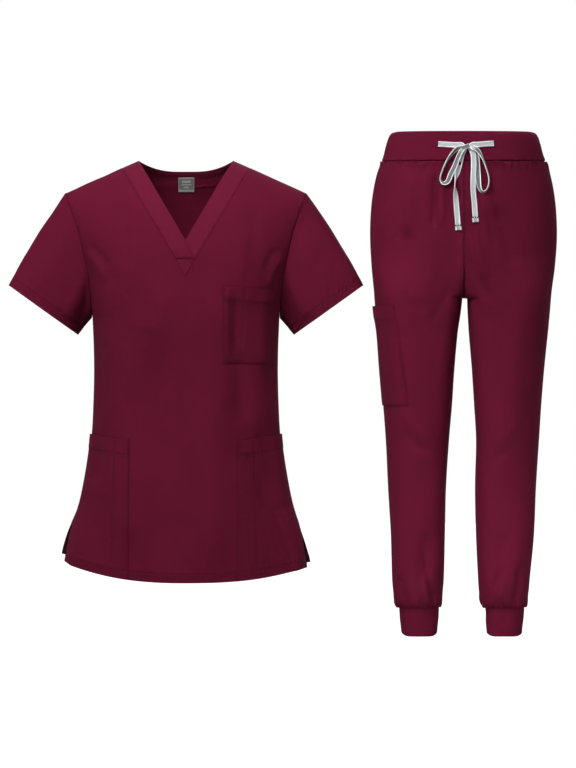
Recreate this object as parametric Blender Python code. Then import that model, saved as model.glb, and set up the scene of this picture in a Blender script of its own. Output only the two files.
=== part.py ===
"""Medical scrubs: a V-neck top and jogger trousers, hollow, as if worn. Metres, +Z up, the fronts face -Y.

The origin is the middle of the shoulder line at the neck. "Right" and "left" are the wearer's: right is -X.
Tables are in millimetres. Each cloth piece is a wall: a grid of points on the garment's form, moved inwards.
"""

import math
from collections import namedtuple

import bpy
from mathutils import Vector

MM = 0.001
RIGHT, LEFT = -1, 1
FRONT, BACK = -1, 1

CLOTH_WALL = 1.5
POCKET_WALL = 1.2
BAND_WALL = 2.5
CUFF_WALL = 2.0
LABEL_WALL = 0.6
LAY_GAP = 0.35
SEAM_PULL = 0.15

WINE = (0.105, 0.009, 0.024)
WINE_KNIT = (0.095, 0.008, 0.021)
LABEL_GREY = (0.25, 0.25, 0.26)
TAPE_GREY = (0.56, 0.56, 0.58)

# Torso of the top: superellipse sections, rounded over to a shoulder ridge.
NECK_HALF = 82.3
RIDGE_SOFT = 30.0
SHOULDER_X, SHOULDER_Z = 211.0, -57.0
SHOULDER_SLOPE = -SHOULDER_Z / (math.hypot(SHOULDER_X, RIDGE_SOFT) - math.hypot(NECK_HALF, RIDGE_SOFT))
SHOULDER_ROUND = 190.0
SECTION_POWER = 2.4
ARMPIT_Z = -275.0
ARMHOLE_HALF_DEPTH = {FRONT: 57.0, BACK: 53.0}

Edge = namedtuple("Edge", "z x")
ARMHOLE = [Edge(*row) for row in (
    (-57, 211), (-72, 206.6), (-112, 192), (-146, 183), (-201, 170.5), (-250, 165.2), (-275, 163.5))]
SIDE = [Edge(*row) for row in (
    (-275, 163.5), (-331, 161.3), (-383, 161.0), (-446, 163), (-478, 165), (-509, 168.5), (-551, 175.5),
    (-593, 184.5), (-635, 196.5), (-677, 210), (-710, 218))]
Depth = namedtuple("Depth", "z front back")
DEPTH = [Depth(*row) for row in (
    (0, 120, 96), (-100, 124, 102), (-200, 132, 108), (-275, 132, 106), (-380, 122, 96), (-440, 120, 94),
    (-520, 124, 104), (-620, 130, 116), (-710, 134, 120), (-760, 135, 121))]

# Neckline: a straight V in front, a shallow oval behind, with a band 30 mm wide along both.
V_POINT_Z = -140.0
V_TIP_Z = -201.0
SEAM_AT_SHOULDER = 111.5
BACK_NECK_DEPTH = 62.0
BACK_SEAM_DEPTH = 77.0

# Front rows. The first ones start on the neck seam, at a share of its way from shoulder to tip.
NeckRow = namedtuple("NeckRow", "share z_out")
NECK_ROWS = [NeckRow(*row) for row in (
    (0, -57), (0.03, -60), (0.10, -68), (0.20, -82), (0.32, -100), (0.46, -122), (0.61, -146), (0.76, -169),
    (0.853, -185), (1, -201))]
V_POINT_ROW, CROSSING_ROW = 7, 8
BodyRow = namedtuple("BodyRow", "z_in z_out")
CHEST_ROWS = [BodyRow(*row) for row in ((-218.6, -229.5), (-246, -254))]
LOWER_ROWS = [BodyRow(*row) for row in (
    (-272, -275), (-312, -312), (-354.5, -354.5), (-400, -400), (-443, -443), (-492, -477), (-535, -523),
    (-580, -566), (-632, -622))]
FRONT_HEM_ROWS = [BodyRow(*row) for row in ((-672, -654), (-708, -680), (-736.5, -700))]
BACK_HEM_ROWS = [BodyRow(*row) for row in ((-670, -652), (-702, -676), (-728, -694))]
BACK_ARM_Z = (-57, -60, -68, -82, -100, -122, -146, -170, -196, -222, -250, -275)
HEM_POWER = 2.4
VENT_TOP = -622.0
VENT_HEIGHT = 78.0
VENT_FRONT_IN = 7.0
VENT_SPREAD = 8.0

COLUMNS = 12
CHEST_POCKET_COLUMN, HIP_POCKET_COLUMN = 4, 6
CHEST_POCKET_LAST = 10
CHEST_POCKET_X = 66.5
HipEdge = namedtuple("HipEdge", "z right left")
HIP_POCKET_X = [HipEdge(*row) for row in ((-201, 100, 96), (-480, 96.6, 91.7), (-736, 100.8, 90.8))]
HIP_MOUTH_BULGE = 4.0
CHEST_MOUTH_BULGE = 2.0
# A pocket's mouth stands off: the shares of its width and height over which this fades, and what the
# side seam keeps of it.
MOUTH_FADE_IN, MOUTH_FADE_OUT, MOUTH_FADE_DOWN = 0.45, 0.35, 0.7
MOUTH_AT_SIDE = 0.35
LABEL_COLUMN = 15.0

# Sleeves: from the armhole's loop to an oval hem.
HEM_X, HEM_Z = 249.6, -260.4
HEM_HALF = 74.5
HEM_HALF_DEPTH = 47.0
HEM_DIRECTION = (0.814, 0.581)
SLEEVE_STEPS = (0, 0.12, 0.3, 0.5, 0.7, 0.87, 1)
SLEEVE_CROWN = 4.0

# Soft folds: a line from one point to the other, how far it reaches to each side, and its height.
# They die out at the side seams, over a length on the top and over a share of a panel on the trousers.
SEAM_FADE = 30.0
SEAM_FADE_SHARE = 0.12
Fold = namedtuple("Fold", "face x0 z0 x1 z1 reach height")
TOP_FOLDS = [Fold(*row) for row in (
    (FRONT, -112, -300, -108, -700, 25, 3.5),
    (FRONT, -50, -290, -36, -745, 27, -4.5),
    (FRONT, 42, -320, 52, -745, 26, 3.5),
    (FRONT, 96, -215, 100, -480, 20, -4.0),
    (FRONT, -30, -225, -70, -330, 22, 2.5),
    (BACK, -62, -250, -56, -735, 26, -4.5),
    (BACK, 66, -230, 58, -735, 26, -4.5),
    (BACK, 4, -330, 2, -735, 28, 3.0),
    (BACK, -90, -150, -30, -230, 20, 2.5))]
TROUSER_FOLDS = [Fold(*row) for row in (
    (FRONT, 50, -75, 90, -190, 14, -3.5),
    (FRONT, -50, -40, -55, -130, 13, -3.0),
    (FRONT, -92, -300, -72, -560, 22, 3.5),
    (FRONT, 84, -280, 70, -560, 22, 3.5),
    (FRONT, -62, -640, -78, -760, 14, -3.5),
    (FRONT, 70, -640, 58, -760, 14, -3.5),
    (BACK, 60, -190, 20, -245, 14, -3.5),
    (BACK, -60, -190, -20, -245, 14, -3.5),
    (BACK, -84, -380, -78, -640, 20, -4.0),
    (BACK, 78, -380, 72, -640, 20, -4.0))]

# Trousers. "out" and "in" are distances from the trousers' own middle, "front" and "back" the hip section's
# half depths, "leg_front" and "leg_back" each leg's, about a line that "lean" moves back.
TROUSER_X = 485.6
CROTCH_Z = -247.0
CROTCH_RISE = {FRONT: 80.0, BACK: 110.0}
CROTCH_BEND = (0.7, 2.0)
CROTCH_BEND_SHARE = 0.6
SPREAD_Z = -100.0
HIP_POWER = 2.3
# The superellipse power of a leg's section, on its inner and its outer half: fuller towards the other leg.
LegPower = namedtuple("LegPower", "z inner outer")
LEG_POWERS = [LegPower(*row) for row in (
    (-840, 2.1, 2.1), (-700, 2.1, 2.1), (-560, 2.3, 2.1), (-420, 2.7, 2.2), (-320, 3.3, 2.3), (-247, 4.2, 2.4),
    (0, 4.2, 2.4))]
LegRow = namedtuple("LegRow", "z right_out left_out right_in left_in front back leg_front leg_back lean")
LEGS = [LegRow(*row) for row in (
    (-1.5, 141.5, 141.5, 0, 0, 99, 99, 90, 92, 0), (-10, 147, 147, 0, 0, 101, 102, 91, 93, 0),
    (-26, 152.5, 152.5, 0, 0, 103, 106, 92, 95, 0), (-52, 158, 158, 0, 0, 105, 112, 94, 98, 0),
    (-85, 162, 162, 0, 0, 106, 117, 96, 101, 0), (-131, 163.6, 163.6, 0, 0, 105, 120, 98, 104, 0),
    (-184, 161, 160, 0, 0, 103, 118, 98, 106, 0), (-226, 157, 154.5, 0, 0, 101, 113, 97, 105, 0),
    (-247, 155.5, 152.5, 0.15, 0.15, 99, 108, 96, 103, 0), (-266, 154, 151, 5, 5.5, 98, 108, 94, 100, 0),
    (-299, 149.6, 147.9, 10.9, 9.1, 98, 108, 90, 94, -1), (-362, 146.1, 141.4, 15.9, 14.5, 98, 108, 82, 84, -3),
    (-425, 140.9, 136.2, 20.1, 18.4, 98, 108, 75, 76, -5), (-488, 136.2, 132.1, 25.4, 21.9, 98, 108, 68, 70, -5),
    (-572, 132.1, 126.9, 30.6, 20.1, 98, 108, 62, 64, -1), (-656, 127.2, 123.4, 32.4, 21.9, 98, 108, 57, 60, 4),
    (-730, 125.1, 116.4, 34.1, 25.4, 98, 108, 54, 57, 9), (-751, 123.4, 114.6, 35.9, 27.1, 98, 108, 51, 53, 10),
    (-772, 119.9, 111.1, 39.4, 30.9, 98, 108, 44, 46, 11), (-782, 113.4, 106.8, 42.9, 37.3, 98, 108, 38, 38, 12),
    (-803, 111.1, 104.1, 44.6, 37.6, 98, 108, 34, 34, 12), (-824, 107.6, 98.9, 49.9, 41.1, 98, 108, 30, 30, 12),
    (-832, 106.0, 97.6, 51.4, 42.6, 98, 108, 29, 29, 12))]
WAIST_Z, CUFF_TOP_Z, CUFF_END_Z = -1.5, -782.0, -831.5
POCKET_TOP_Z, POCKET_END_Z = -254.0, -427.0
TROUSER_ROWS = (
    WAIST_Z, -12, -38, -80, -130, -175, -205, -228, -240, CROTCH_Z, POCKET_TOP_Z, -300, -345, -390,
    POCKET_END_Z, -500, -590, -680, -730, -755, -770, CUFF_TOP_Z)
CARGO_COLUMN = 8
CargoEdge = namedtuple("CargoEdge", "z share")
CARGO_EDGE = [CargoEdge(*row) for row in (
    (-120, 0.667), (-254, 0.70), (-302, 0.667), (-427, 0.594), (-560, 0.667), (-830, 0.667))]
CARGO_BULGE = 3.5
Gather = namedtuple("Gather", "z height")
GATHERS = [Gather(*row) for row in (
    (-1.5, 0.7), (-12, 1.4), (-60, 0), (-345, 0), (-690, 0), (-745, 1.6), (-766, 2.6), (-782, 0.6))]
GATHER_COLUMNS = 3
BandRow = namedtuple("BandRow", "z half front")
WAISTBAND = [BandRow(*row) for row in (
    (-1.5, 141.5, 99), (15, 138.6, 98.5), (33, 134, 96), (44, 129.5, 92.5), (49, 124.5, 89), (51.3, 116, 83))]

# Drawstring: flat tape, its middle line over the cloth. "turn" is 0 where it lies flat, 90 on edge.
TAPE_WIDTH, TAPE_WALL = 9.5, 1.2
KNOT_AT = (4.4, 26.0, 5.4)
KNOT_RADII = (8.6, 5.2, 5.6)
Tape = namedtuple("Tape", "x z off turn")
TAPES = {
    "drawstring_right_stretch": (
        (-45.5, 28, 1.7, 0), (-30, 27, 1.7, 0), (-16, 26.2, 2.2, 0), (-4.8, 26.2, 4.2, 0)),
    "drawstring_left_stretch": (
        (51.6, 28.9, 1.8, 0), (36, 28, 1.8, 0), (24, 26.8, 2.0, 0), (13.4, 26.4, 3.6, 0)),
    "drawstring_right_loop": (
        (-3.4, 22.2, 7.6, 20), (-14.5, 18.5, 7.8, 45), (-28.5, 1.8, 7.2, 72), (-38.5, -19, 6.8, 80),
        (-42, -33, 6.6, 78), (-37.5, -41, 6.4, 60), (-29, -38, 5.8, 30), (-24.2, -26, 7.6, 14), (-17.2, -12, 7.9, 18),
        (-9.4, 8, 7.6, 36), (-4.6, 16.6, 8.4, 36), (-1.2, 19.4, 8.4, 36)),
    "drawstring_left_loop": (
        (12.4, 22.4, 7.6, 20), (22, 18, 7.8, 35), (31, 4, 7.2, 70), (38, -14, 6.8, 80), (43, -34, 6.6, 80),
        (40, -50, 6.6, 80), (32.6, -56.5, 6.2, 70), (27, -50, 5.2, 50), (24.4, -36, 3.6, 20),
        (22.8, -12, 2.4, 5), (20.8, 7, 2.4, 0), (14.2, 18.6, 2.6, 0)),
    "drawstring_right_tail": (
        (0.2, 20.3, 3.4, 0), (-4.4, 9, 2.1, 0), (-8.8, -9, 2.2, 0), (-11.8, -20, 2.6, 15), (-15.4, -32, 6.2, 72),
        (-16.8, -46, 7.0, 85), (-15.4, -62, 4.2, 30), (-13.2, -90, 2.2, 0), (-10.3, -122.5, 2.2, 0)),
    "drawstring_left_tail": (
        (11.2, 20.2, 4.5, 0), (15.6, 9, 5.2, 0), (16.2, -12, 5.6, 0), (15.2, -34, 5.2, 0), (15.4, -55, 3.4, 0),
        (17.4, -77, 2.4, 0), (19.6, -108.5, 2.2, 0)),
}
TAPE_STEP = 6.0


def clear_scene():
    for item in list(bpy.data.objects):
        bpy.data.objects.remove(item, do_unlink=True)


def make_material(name, colour, roughness):
    material = bpy.data.materials.new(name)
    material.use_nodes = True
    surface = material.node_tree.nodes["Principled BSDF"]
    surface.inputs["Base Color"].default_value = (*colour, 1)
    surface.inputs["Roughness"].default_value = roughness
    surface.inputs["Metallic"].default_value = 0
    return material


def lerp(a, b, t):
    return a + (b - a) * t


def ease(t):
    t = min(max(t, 0.0), 1.0)
    return t * t * (3 - 2 * t)


def along(table, column, z):
    """A table's column at height z, on a smooth curve through its rows."""
    rows = sorted(table, key=lambda row: row.z)
    z = min(max(z, rows[0].z), rows[-1].z)
    k = max(i for i in range(len(rows) - 1) if rows[i].z <= z)
    value = [getattr(row, column) for row in rows]
    place = [row.z for row in rows]

    def slope(i):
        low, high = max(i - 1, 0), min(i + 1, len(rows) - 1)
        return (value[high] - value[low]) / (place[high] - place[low])

    span = place[k + 1] - place[k]
    t = (z - place[k]) / span
    rise = value[k + 1] - value[k]
    start, end = slope(k) * span, slope(k + 1) * span
    return value[k] + start * t + (3 * rise - 2 * start - end) * t ** 2 + (start + end - 2 * rise) * t ** 3


def fold_height(folds, face, x, z):
    total = 0.0
    for fold in folds:
        if fold.face != face:
            continue
        dx, dz = fold.x1 - fold.x0, fold.z1 - fold.z0
        length = math.hypot(dx, dz)
        way = ((x - fold.x0) * dx + (z - fold.z0) * dz) / length ** 2
        aside = ((x - fold.x0) * dz - (z - fold.z0) * dx) / length
        ends = ease(way / 0.25) * ease((1 - way) / 0.2)
        total += fold.height * ends * math.exp(-((aside / fold.reach) ** 2))
    return total


# ---- Solids from grids of (point, outward) pairs, in millimetres ----

def shell(name, grids, wall, material, lift=0.0):
    """A closed wall on grids of (point, outward) pairs. With a lift it stands that far outside the grids."""
    points, outward, faces, seen = [], [], [], {}

    def index(pair):
        key = tuple(round(c, 3) for c in pair[0])
        if key not in seen:
            seen[key] = len(points)
            points.append(pair[0])
            outward.append(pair[1])
        return seen[key]

    for grid in grids:
        for above, below in zip(grid, grid[1:]):
            for j in range(len(above) - 1):
                a, b, c, d = (index(p) for p in (above[j], above[j + 1], below[j + 1], below[j]))
                for tri in ((a, b, c), (a, c, d)):
                    if len(set(tri)) == 3:
                        faces.append(oriented(tri, points, outward))
    outer = [p + n * (lift + wall) for p, n in zip(points, outward)] if lift else list(points)
    inner = [p - n * wall for p, n in zip(outer, outward)]
    edges = boundary(faces)
    pulls = seam_pulls(edges, faces, outer)
    for i, pull in pulls.items():
        outer[i] = outer[i] + pull
        inner[i] = inner[i] + pull
    count = len(points)
    solid = list(faces)
    solid += [(c + count, b + count, a + count) for a, b, c in faces]
    for a, b in edges:
        solid.append((b, a, a + count))
        solid.append((b, a + count, b + count))
    add_object(name, [p * MM for p in outer + inner], solid, material)


def oriented(tri, points, outward):
    a, b, c = (points[i] for i in tri)
    facing = (b - a).cross(c - a).dot(outward[tri[0]] + outward[tri[1]] + outward[tri[2]])
    return tri if facing > 0 else (tri[0], tri[2], tri[1])


def boundary(faces):
    used = set()
    for a, b, c in faces:
        used.update(((a, b), (b, c), (c, a)))
    return [edge for edge in sorted(used) if (edge[1], edge[0]) not in used]


def seam_pulls(edges, faces, points):
    """How far each rim point moves into its own piece, so that pieces stand apart at a seam."""
    third = {}
    for a, b, c in faces:
        third[(a, b)], third[(b, c)], third[(c, a)] = c, a, b
    inward = {}
    for a, b in edges:
        run = (points[b] - points[a]).normalized()
        facing = run.cross(points[third[(a, b)]] - points[a]).normalized()
        for i in (a, b):
            inward.setdefault(i, []).append(facing.cross(run))
    pulls = {}
    for i, ways in inward.items():
        both = sum(ways, Vector())
        share = max(0.5, 1 + ways[0].dot(ways[-1]))
        pulls[i] = both * (SEAM_PULL / share)
    return pulls


def add_object(name, points, faces, material):
    mesh = bpy.data.meshes.new(name)
    mesh.from_pydata([tuple(p) for p in points], [], faces)
    mesh.validate()
    mesh.materials.append(material)
    mesh.shade_smooth()
    mesh.set_sharp_from_angle(angle=math.radians(40))
    bpy.context.collection.objects.link(bpy.data.objects.new(name, mesh))


# ---- The top's form ----

def ridge_z(x):
    return SHOULDER_SLOPE * (math.hypot(NECK_HALF, RIDGE_SOFT) - math.hypot(x, RIDGE_SOFT))


def rounding(drop):
    return math.sqrt(max(0.0, 1 - max(0.0, 1 - drop / SHOULDER_ROUND) ** 2))


def edge_x(z):
    return along(ARMHOLE, "x", z) if z > ARMPIT_Z else along(SIDE, "x", z)


def depth(face, z):
    return along(DEPTH, "front" if face == FRONT else "back", z)


def section_half(face, z):
    """Half the section's width. Above the armpit it goes on past the armhole, which cuts it."""
    if z <= ARMPIT_Z:
        return edge_x(z)
    z = min(z, SHOULDER_Z - 0.5)
    x = edge_x(z)
    middle, half = (SHOULDER_Z + ARMPIT_Z) / 2, (SHOULDER_Z - ARMPIT_Z) / 2
    arm = ARMHOLE_HALF_DEPTH[face] * math.sqrt(max(0.0, 1 - ((z - middle) / half) ** 2))
    share = arm / (depth(face, z) * rounding(ridge_z(x) - z))
    return x / (1 - share ** SECTION_POWER) ** (1 / SECTION_POWER)


def section(x, half):
    return max(0.0, 1 - (abs(x) / half) ** SECTION_POWER) ** (1 / SECTION_POWER)


def torso_outward(face, p):
    """The form's outward direction at a point on it, from how its own equation grows around the point."""
    near_side = abs(p.x) > 0.97 * section_half(face, p.z)

    def level(q):
        half, reach = section_half(face, q.z), depth(face, q.z)
        drop = ridge_z(q.x) - q.z
        if near_side:
            return (abs(q.x) / half) ** SECTION_POWER + (abs(q.y) / (reach * rounding(drop))) ** SECTION_POWER
        return (q.y / (reach * section(q.x, half))) ** 2 + max(0.0, 1 - drop / SHOULDER_ROUND) ** 2

    step = 0.2
    axes = (Vector((step, 0, 0)), Vector((0, step, 0)), Vector((0, 0, step)))
    return Vector([level(p + axis) - level(p - axis) for axis in axes]).normalized()


def torso_point(face, x, drop):
    z = ridge_z(x) - drop
    y = face * depth(face, z) * section(x, section_half(face, z)) * rounding(drop)
    p = Vector((x, y, z))
    outward = torso_outward(face, p)
    fade = ease((edge_x(min(z, SHOULDER_Z)) - abs(x)) / SEAM_FADE)
    return p + outward * (fold_height(TOP_FOLDS, face, x, z) * fade), outward


def column_shares(side, z_out):
    """Each column's share of a row's half width. Guides keep two columns on the pockets' inner edges."""
    x_out = edge_x(z_out)
    half = section_half(FRONT, z_out)
    hip = along(HIP_POCKET_X, "right" if side == RIGHT else "left", z_out)
    shares = [CHEST_POCKET_X * j / CHEST_POCKET_COLUMN / x_out for j in range(CHEST_POCKET_COLUMN)]
    between = HIP_POCKET_COLUMN - CHEST_POCKET_COLUMN
    shares += [lerp(CHEST_POCKET_X, hip, j / between) / x_out for j in range(between)]

    def angle(x):
        return math.asin(min(1.0, (x / half) ** (SECTION_POWER / 2)))

    rest = COLUMNS - HIP_POCKET_COLUMN
    for j in range(rest + 1):
        turn = lerp(angle(hip), angle(x_out), j / rest)
        shares.append(half * math.sin(turn) ** (2 / SECTION_POWER) / x_out)
    shares[-1] = 1.0
    return shares


def body_row(face, side, row):
    x_out = edge_x(row.z_out)
    points = []
    for share in column_shares(side, row.z_out):
        x = share * x_out
        z = lerp(row.z_in, row.z_out, share ** HEM_POWER)
        p, outward = torso_point(face, side * x, ridge_z(x) - z)
        if row.z_out < VENT_TOP and share > 0.9:
            open_by = ease((VENT_TOP - row.z_out) / VENT_HEIGHT) * ease((share - 0.9) / 0.1)
            p = p + Vector((-side * VENT_FRONT_IN * (face == FRONT), face * VENT_SPREAD, 0)) * open_by
        points.append((p, outward))
    return points


def neck_seam_front(share):
    x = SEAM_AT_SHOULDER * (1 - share)
    return x, lerp(ridge_z(SEAM_AT_SHOULDER), V_TIP_Z, share)


def front_half(side):
    rows = []
    tip_shares = column_shares(side, V_TIP_Z)
    for row in NECK_ROWS:
        x_in, z_in = neck_seam_front(row.share)
        x_out = edge_x(row.z_out)
        drop_in, drop_out = ridge_z(x_in) - z_in, ridge_z(x_out) - row.z_out
        points = []
        for j, tip_share in enumerate(tip_shares):
            share = lerp(j / COLUMNS, tip_share, row.share)
            points.append(torso_point(
                FRONT, side * lerp(x_in, x_out, share), max(0.0, lerp(drop_in, drop_out, share))))
        rows.append(points)
    return rows + [body_row(FRONT, side, row) for row in CHEST_ROWS + LOWER_ROWS + FRONT_HEM_ROWS]


def back_seam_columns():
    """The columns' places on the back neck seam, from the middle to the shoulder."""
    steps = HIP_POCKET_COLUMN - 1
    return [0.0] + [lerp(LABEL_COLUMN, SEAM_AT_SHOULDER, j / steps) for j in range(steps + 1)]


def back_curve_drop(x, half, reach):
    """The drop below the ridge at which the back is on an oval, seen from above, at x."""
    y = reach * math.sqrt(max(0.0, 1 - (x / half) ** 2))
    low, high = 0.0, SHOULDER_ROUND
    for _ in range(40):
        drop = (low + high) / 2
        z = ridge_z(x) - drop
        here = depth(BACK, z) * section(x, section_half(BACK, z)) * rounding(drop)
        low, high = (drop, high) if here < y else (low, drop)
    return 0.0 if x >= half else drop


def back_half(side):
    neck = back_seam_columns()
    shoulder = [lerp(SEAM_AT_SHOULDER, SHOULDER_X, j / (COLUMNS - HIP_POCKET_COLUMN))
                for j in range(1, COLUMNS - HIP_POCKET_COLUMN + 1)]
    top_x = neck + shoulder
    top_drop = [back_curve_drop(x, SEAM_AT_SHOULDER, BACK_SEAM_DEPTH) for x in neck] + [0.0] * len(shoulder)
    armpit = LOWER_ROWS[0]
    pit_shares = column_shares(side, ARMPIT_Z)
    pit_x = edge_x(ARMPIT_Z)
    pit_drop = [ridge_z(f * pit_x) - lerp(armpit.z_in, armpit.z_out, f ** HEM_POWER) for f in pit_shares]
    rows = []
    for z_out in BACK_ARM_Z:
        x_out = edge_x(z_out)
        drop_out = ridge_z(x_out) - z_out
        way = max(0.0, drop_out / pit_drop[-1])
        points = []
        for j in range(COLUMNS + 1):
            share = lerp(top_x[j] / SHOULDER_X, pit_shares[j], way)
            drop = lerp(top_drop[j], pit_drop[j], way) if way > 0.001 else top_drop[j]
            points.append(torso_point(BACK, side * share * x_out, max(0.0, drop)))
        rows.append(points)
    return rows + [body_row(BACK, side, row) for row in LOWER_ROWS[1:] + BACK_HEM_ROWS]


# ---- Neckbands and label ----

def neck_band(side):
    """Rows of three points: neckline, middle and seam. The right band also crosses over to the other seam."""
    rows = []
    for i in range(CROSSING_ROW + 1):
        share = NECK_ROWS[i].share
        seam_x, seam_z = neck_seam_front(share)
        part = share / NECK_ROWS[V_POINT_ROW].share
        line_x, line_z = NECK_HALF * (1 - part), lerp(ridge_z(NECK_HALF), V_POINT_Z, part)
        inner = (side * line_x, ridge_z(line_x) - line_z)
        outer = (side * seam_x, ridge_z(seam_x) - seam_z)
        if i == CROSSING_ROW:
            inner = (abs(outer[0]), outer[1])
        middle = [lerp(a, b, 0.5) for a, b in zip(inner, outer)]
        rows.append([torso_point(FRONT, x, max(0.0, drop)) for x, drop in (inner, middle, outer)])
    return rows


def neck_insert():
    seam_x, seam_z = neck_seam_front(NECK_ROWS[CROSSING_ROW].share)
    top = [torso_point(FRONT, x, ridge_z(x) - z) for x, z in (
        (-seam_x, seam_z), (0, seam_z), (seam_x, seam_z))]
    tip = torso_point(FRONT, 0, ridge_z(0) - V_TIP_Z)
    return [top, [tip, tip, tip]]


def back_band():
    """From shoulder to shoulder: neckline, middle and seam."""
    seam = back_seam_columns()
    rows = []
    for side, places in ((RIGHT, seam[::-1]), (LEFT, seam[1:])):
        for x in places:
            seam_drop = back_curve_drop(x, SEAM_AT_SHOULDER, BACK_SEAM_DEPTH)
            line_x = x * NECK_HALF / SEAM_AT_SHOULDER if x > LABEL_COLUMN else x
            line_drop = back_curve_drop(line_x, NECK_HALF, BACK_NECK_DEPTH)
            points = [torso_point(BACK, side * lerp(line_x, x, t), lerp(line_drop, seam_drop, t))
                      for t in (0, 0.5, 1)]
            rows.append(points)
    return rows


def inside(grid, wall):
    """The same grid on the wall's inner face, facing the hollow."""
    return [[(p - n * wall, -n) for p, n in row] for row in grid]


# ---- Sleeves ----

def sleeve_frames(side, loop):
    """The sleeve's rings, from the armhole's loop of points to the hem's oval."""
    run = [0.0]
    for a, b in zip(loop, loop[1:] + loop[:1]):
        run.append(run[-1] + (b[0] - a[0]).length)
    pit = min(range(len(loop)), key=lambda i: loop[i][0].z)
    across = Vector((side * HEM_DIRECTION[0], 0, HEM_DIRECTION[1]))
    crown = Vector((side * HEM_DIRECTION[1], 0, HEM_DIRECTION[0]))
    middle = Vector((side * HEM_X, 0, HEM_Z))
    rings = []
    for step in SLEEVE_STEPS:
        ring = []
        for i, (start, _) in enumerate(loop):
            if i <= pit:
                turn = math.pi * run[i] / run[pit]
            else:
                turn = math.pi + math.pi * (run[i] - run[pit]) / (run[-1] - run[pit])
            ahead = Vector((0, -HEM_HALF_DEPTH, 0))
            end = middle + across * (HEM_HALF * math.cos(turn)) + ahead * math.sin(turn)
            swell = SLEEVE_CROWN * 4 * step * (1 - step) * max(0.0, math.cos(turn))
            ring.append(start.lerp(end, step) + crown * swell)
        rings.append(ring)
    return rings


def ring_outward(rings, k, i, middle):
    """Outward at a ring's point, from its neighbours, turned away from the sleeve's middle line."""
    count = len(rings[0])
    below, above = rings[max(k - 1, 0)][i], rings[min(k + 1, len(rings) - 1)][i]
    around = rings[k][(i + 1) % count] - rings[k][i - 1]
    outward = around.cross(above - below).normalized()
    return outward if outward.dot(rings[k][i] - middle) > 0 else -outward


def mitre(a, b, most=2.2):
    """The direction and length that move two walls' shared edge by one wall."""
    both = (a + b).normalized()
    return both * min(most, 1 / max(both.dot(a), 0.1))


def sleeve(side, front, back, arm_rows):
    """The sleeve's grid. It also turns the panels' own edges to the seam's shared mitre."""
    edge = [front[i][-1] for i in range(arm_rows)]
    edge += [back[i][-1] for i in range(len(BACK_ARM_Z) - 2, 0, -1)]
    rings = sleeve_frames(side, edge)
    grid = []
    for k, ring in enumerate(rings):
        middle = sum(ring, Vector()) / len(ring)
        grid.append([(p, ring_outward(rings, k, i, middle)) for i, p in enumerate(ring)])
    shared = [(p, mitre(n, edge[i][1])) for i, (p, n) in enumerate(grid[0])]
    grid[0] = shared
    for i in range(arm_rows):
        front[i][-1] = shared[i]
    for i in range(1, len(BACK_ARM_Z) - 1):
        back[i][-1] = shared[len(edge) - i]
    back[0][-1] = shared[0]
    back[len(BACK_ARM_Z) - 1][-1] = shared[arm_rows - 1]
    return [ring + ring[:1] for ring in grid]


# ---- Trousers ----

def leg_value(side, column, z):
    return along(LEGS, f"{'right' if side == RIGHT else 'left'}_{column}", z)


def hip_point(half, reach, share, face):
    turn = share * math.pi / 2
    x = half * math.sin(turn) ** (2 / HIP_POWER)
    y = face * reach * max(0.0, math.cos(turn)) ** (2 / HIP_POWER)
    return x, y


def side_name(face):
    return "front" if face == FRONT else "back"


def hip_share(face, across, z):
    """0 in the legs, rising to 1 in the hips, first by the crotch seam and then by the outer seam."""
    climb = min(max((z - CROTCH_Z) / CROTCH_RISE[face], 0.0), 1.0)
    bend = lerp(*CROTCH_BEND, ease(across / CROTCH_BEND_SHARE))
    return math.sqrt(1 - (1 - climb) ** 2) ** bend


def trouser_form(face, side, share, z):
    """A half panel's point, from the middle or the inner leg at share 0 to the outer leg at 1."""
    out = leg_value(side, "out", z)
    inner = leg_value(side, "in", z) if z < CROTCH_Z else 0.0
    spread = ease((z - CROTCH_Z) / (SPREAD_Z - CROTCH_Z))
    across = lerp((1 - math.cos(share * math.pi)) / 2, math.sin(share * math.pi / 2) ** (2 / HIP_POWER), spread)
    power = along(LEG_POWERS, "inner" if across < 0.5 else "outer", z)
    leg = max(0.0, 1 - abs(2 * across - 1) ** power) ** (1 / power)
    hip = max(0.0, 1 - across ** HIP_POWER) ** (1 / HIP_POWER)
    name = side_name(face)
    reach = lerp(along(LEGS, f"leg_{name}", z) * leg, along(LEGS, name, z) * hip, hip_share(face, across, z))
    x = TROUSER_X + side * lerp(inner, out, across)
    return Vector((x, along(LEGS, "lean", z) + face * reach, z))


def trouser_outward(face, side, share, z):
    low, high = max(share - 0.01, 0.0), min(share + 0.01, 1.0)
    top, bottom = min(z + 1.5, WAIST_Z), z - 1.5
    if bottom < CROTCH_Z < z:
        bottom = z - min(1.5, (z - CROTCH_Z) / 2)
    if z <= CROTCH_Z < top:
        top = z
    around = trouser_form(face, side, high, z) - trouser_form(face, side, low, z)
    down = trouser_form(face, side, share, bottom) - trouser_form(face, side, share, top)
    outward = around.cross(down).normalized()
    return outward * side * face


def cargo_share(side, j, z):
    if side == LEFT:
        return j / COLUMNS
    guide = along(CARGO_EDGE, "share", z)
    if j <= CARGO_COLUMN:
        return guide * j / CARGO_COLUMN
    return lerp(guide, 1, (j - CARGO_COLUMN) / (COLUMNS - CARGO_COLUMN))


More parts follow.
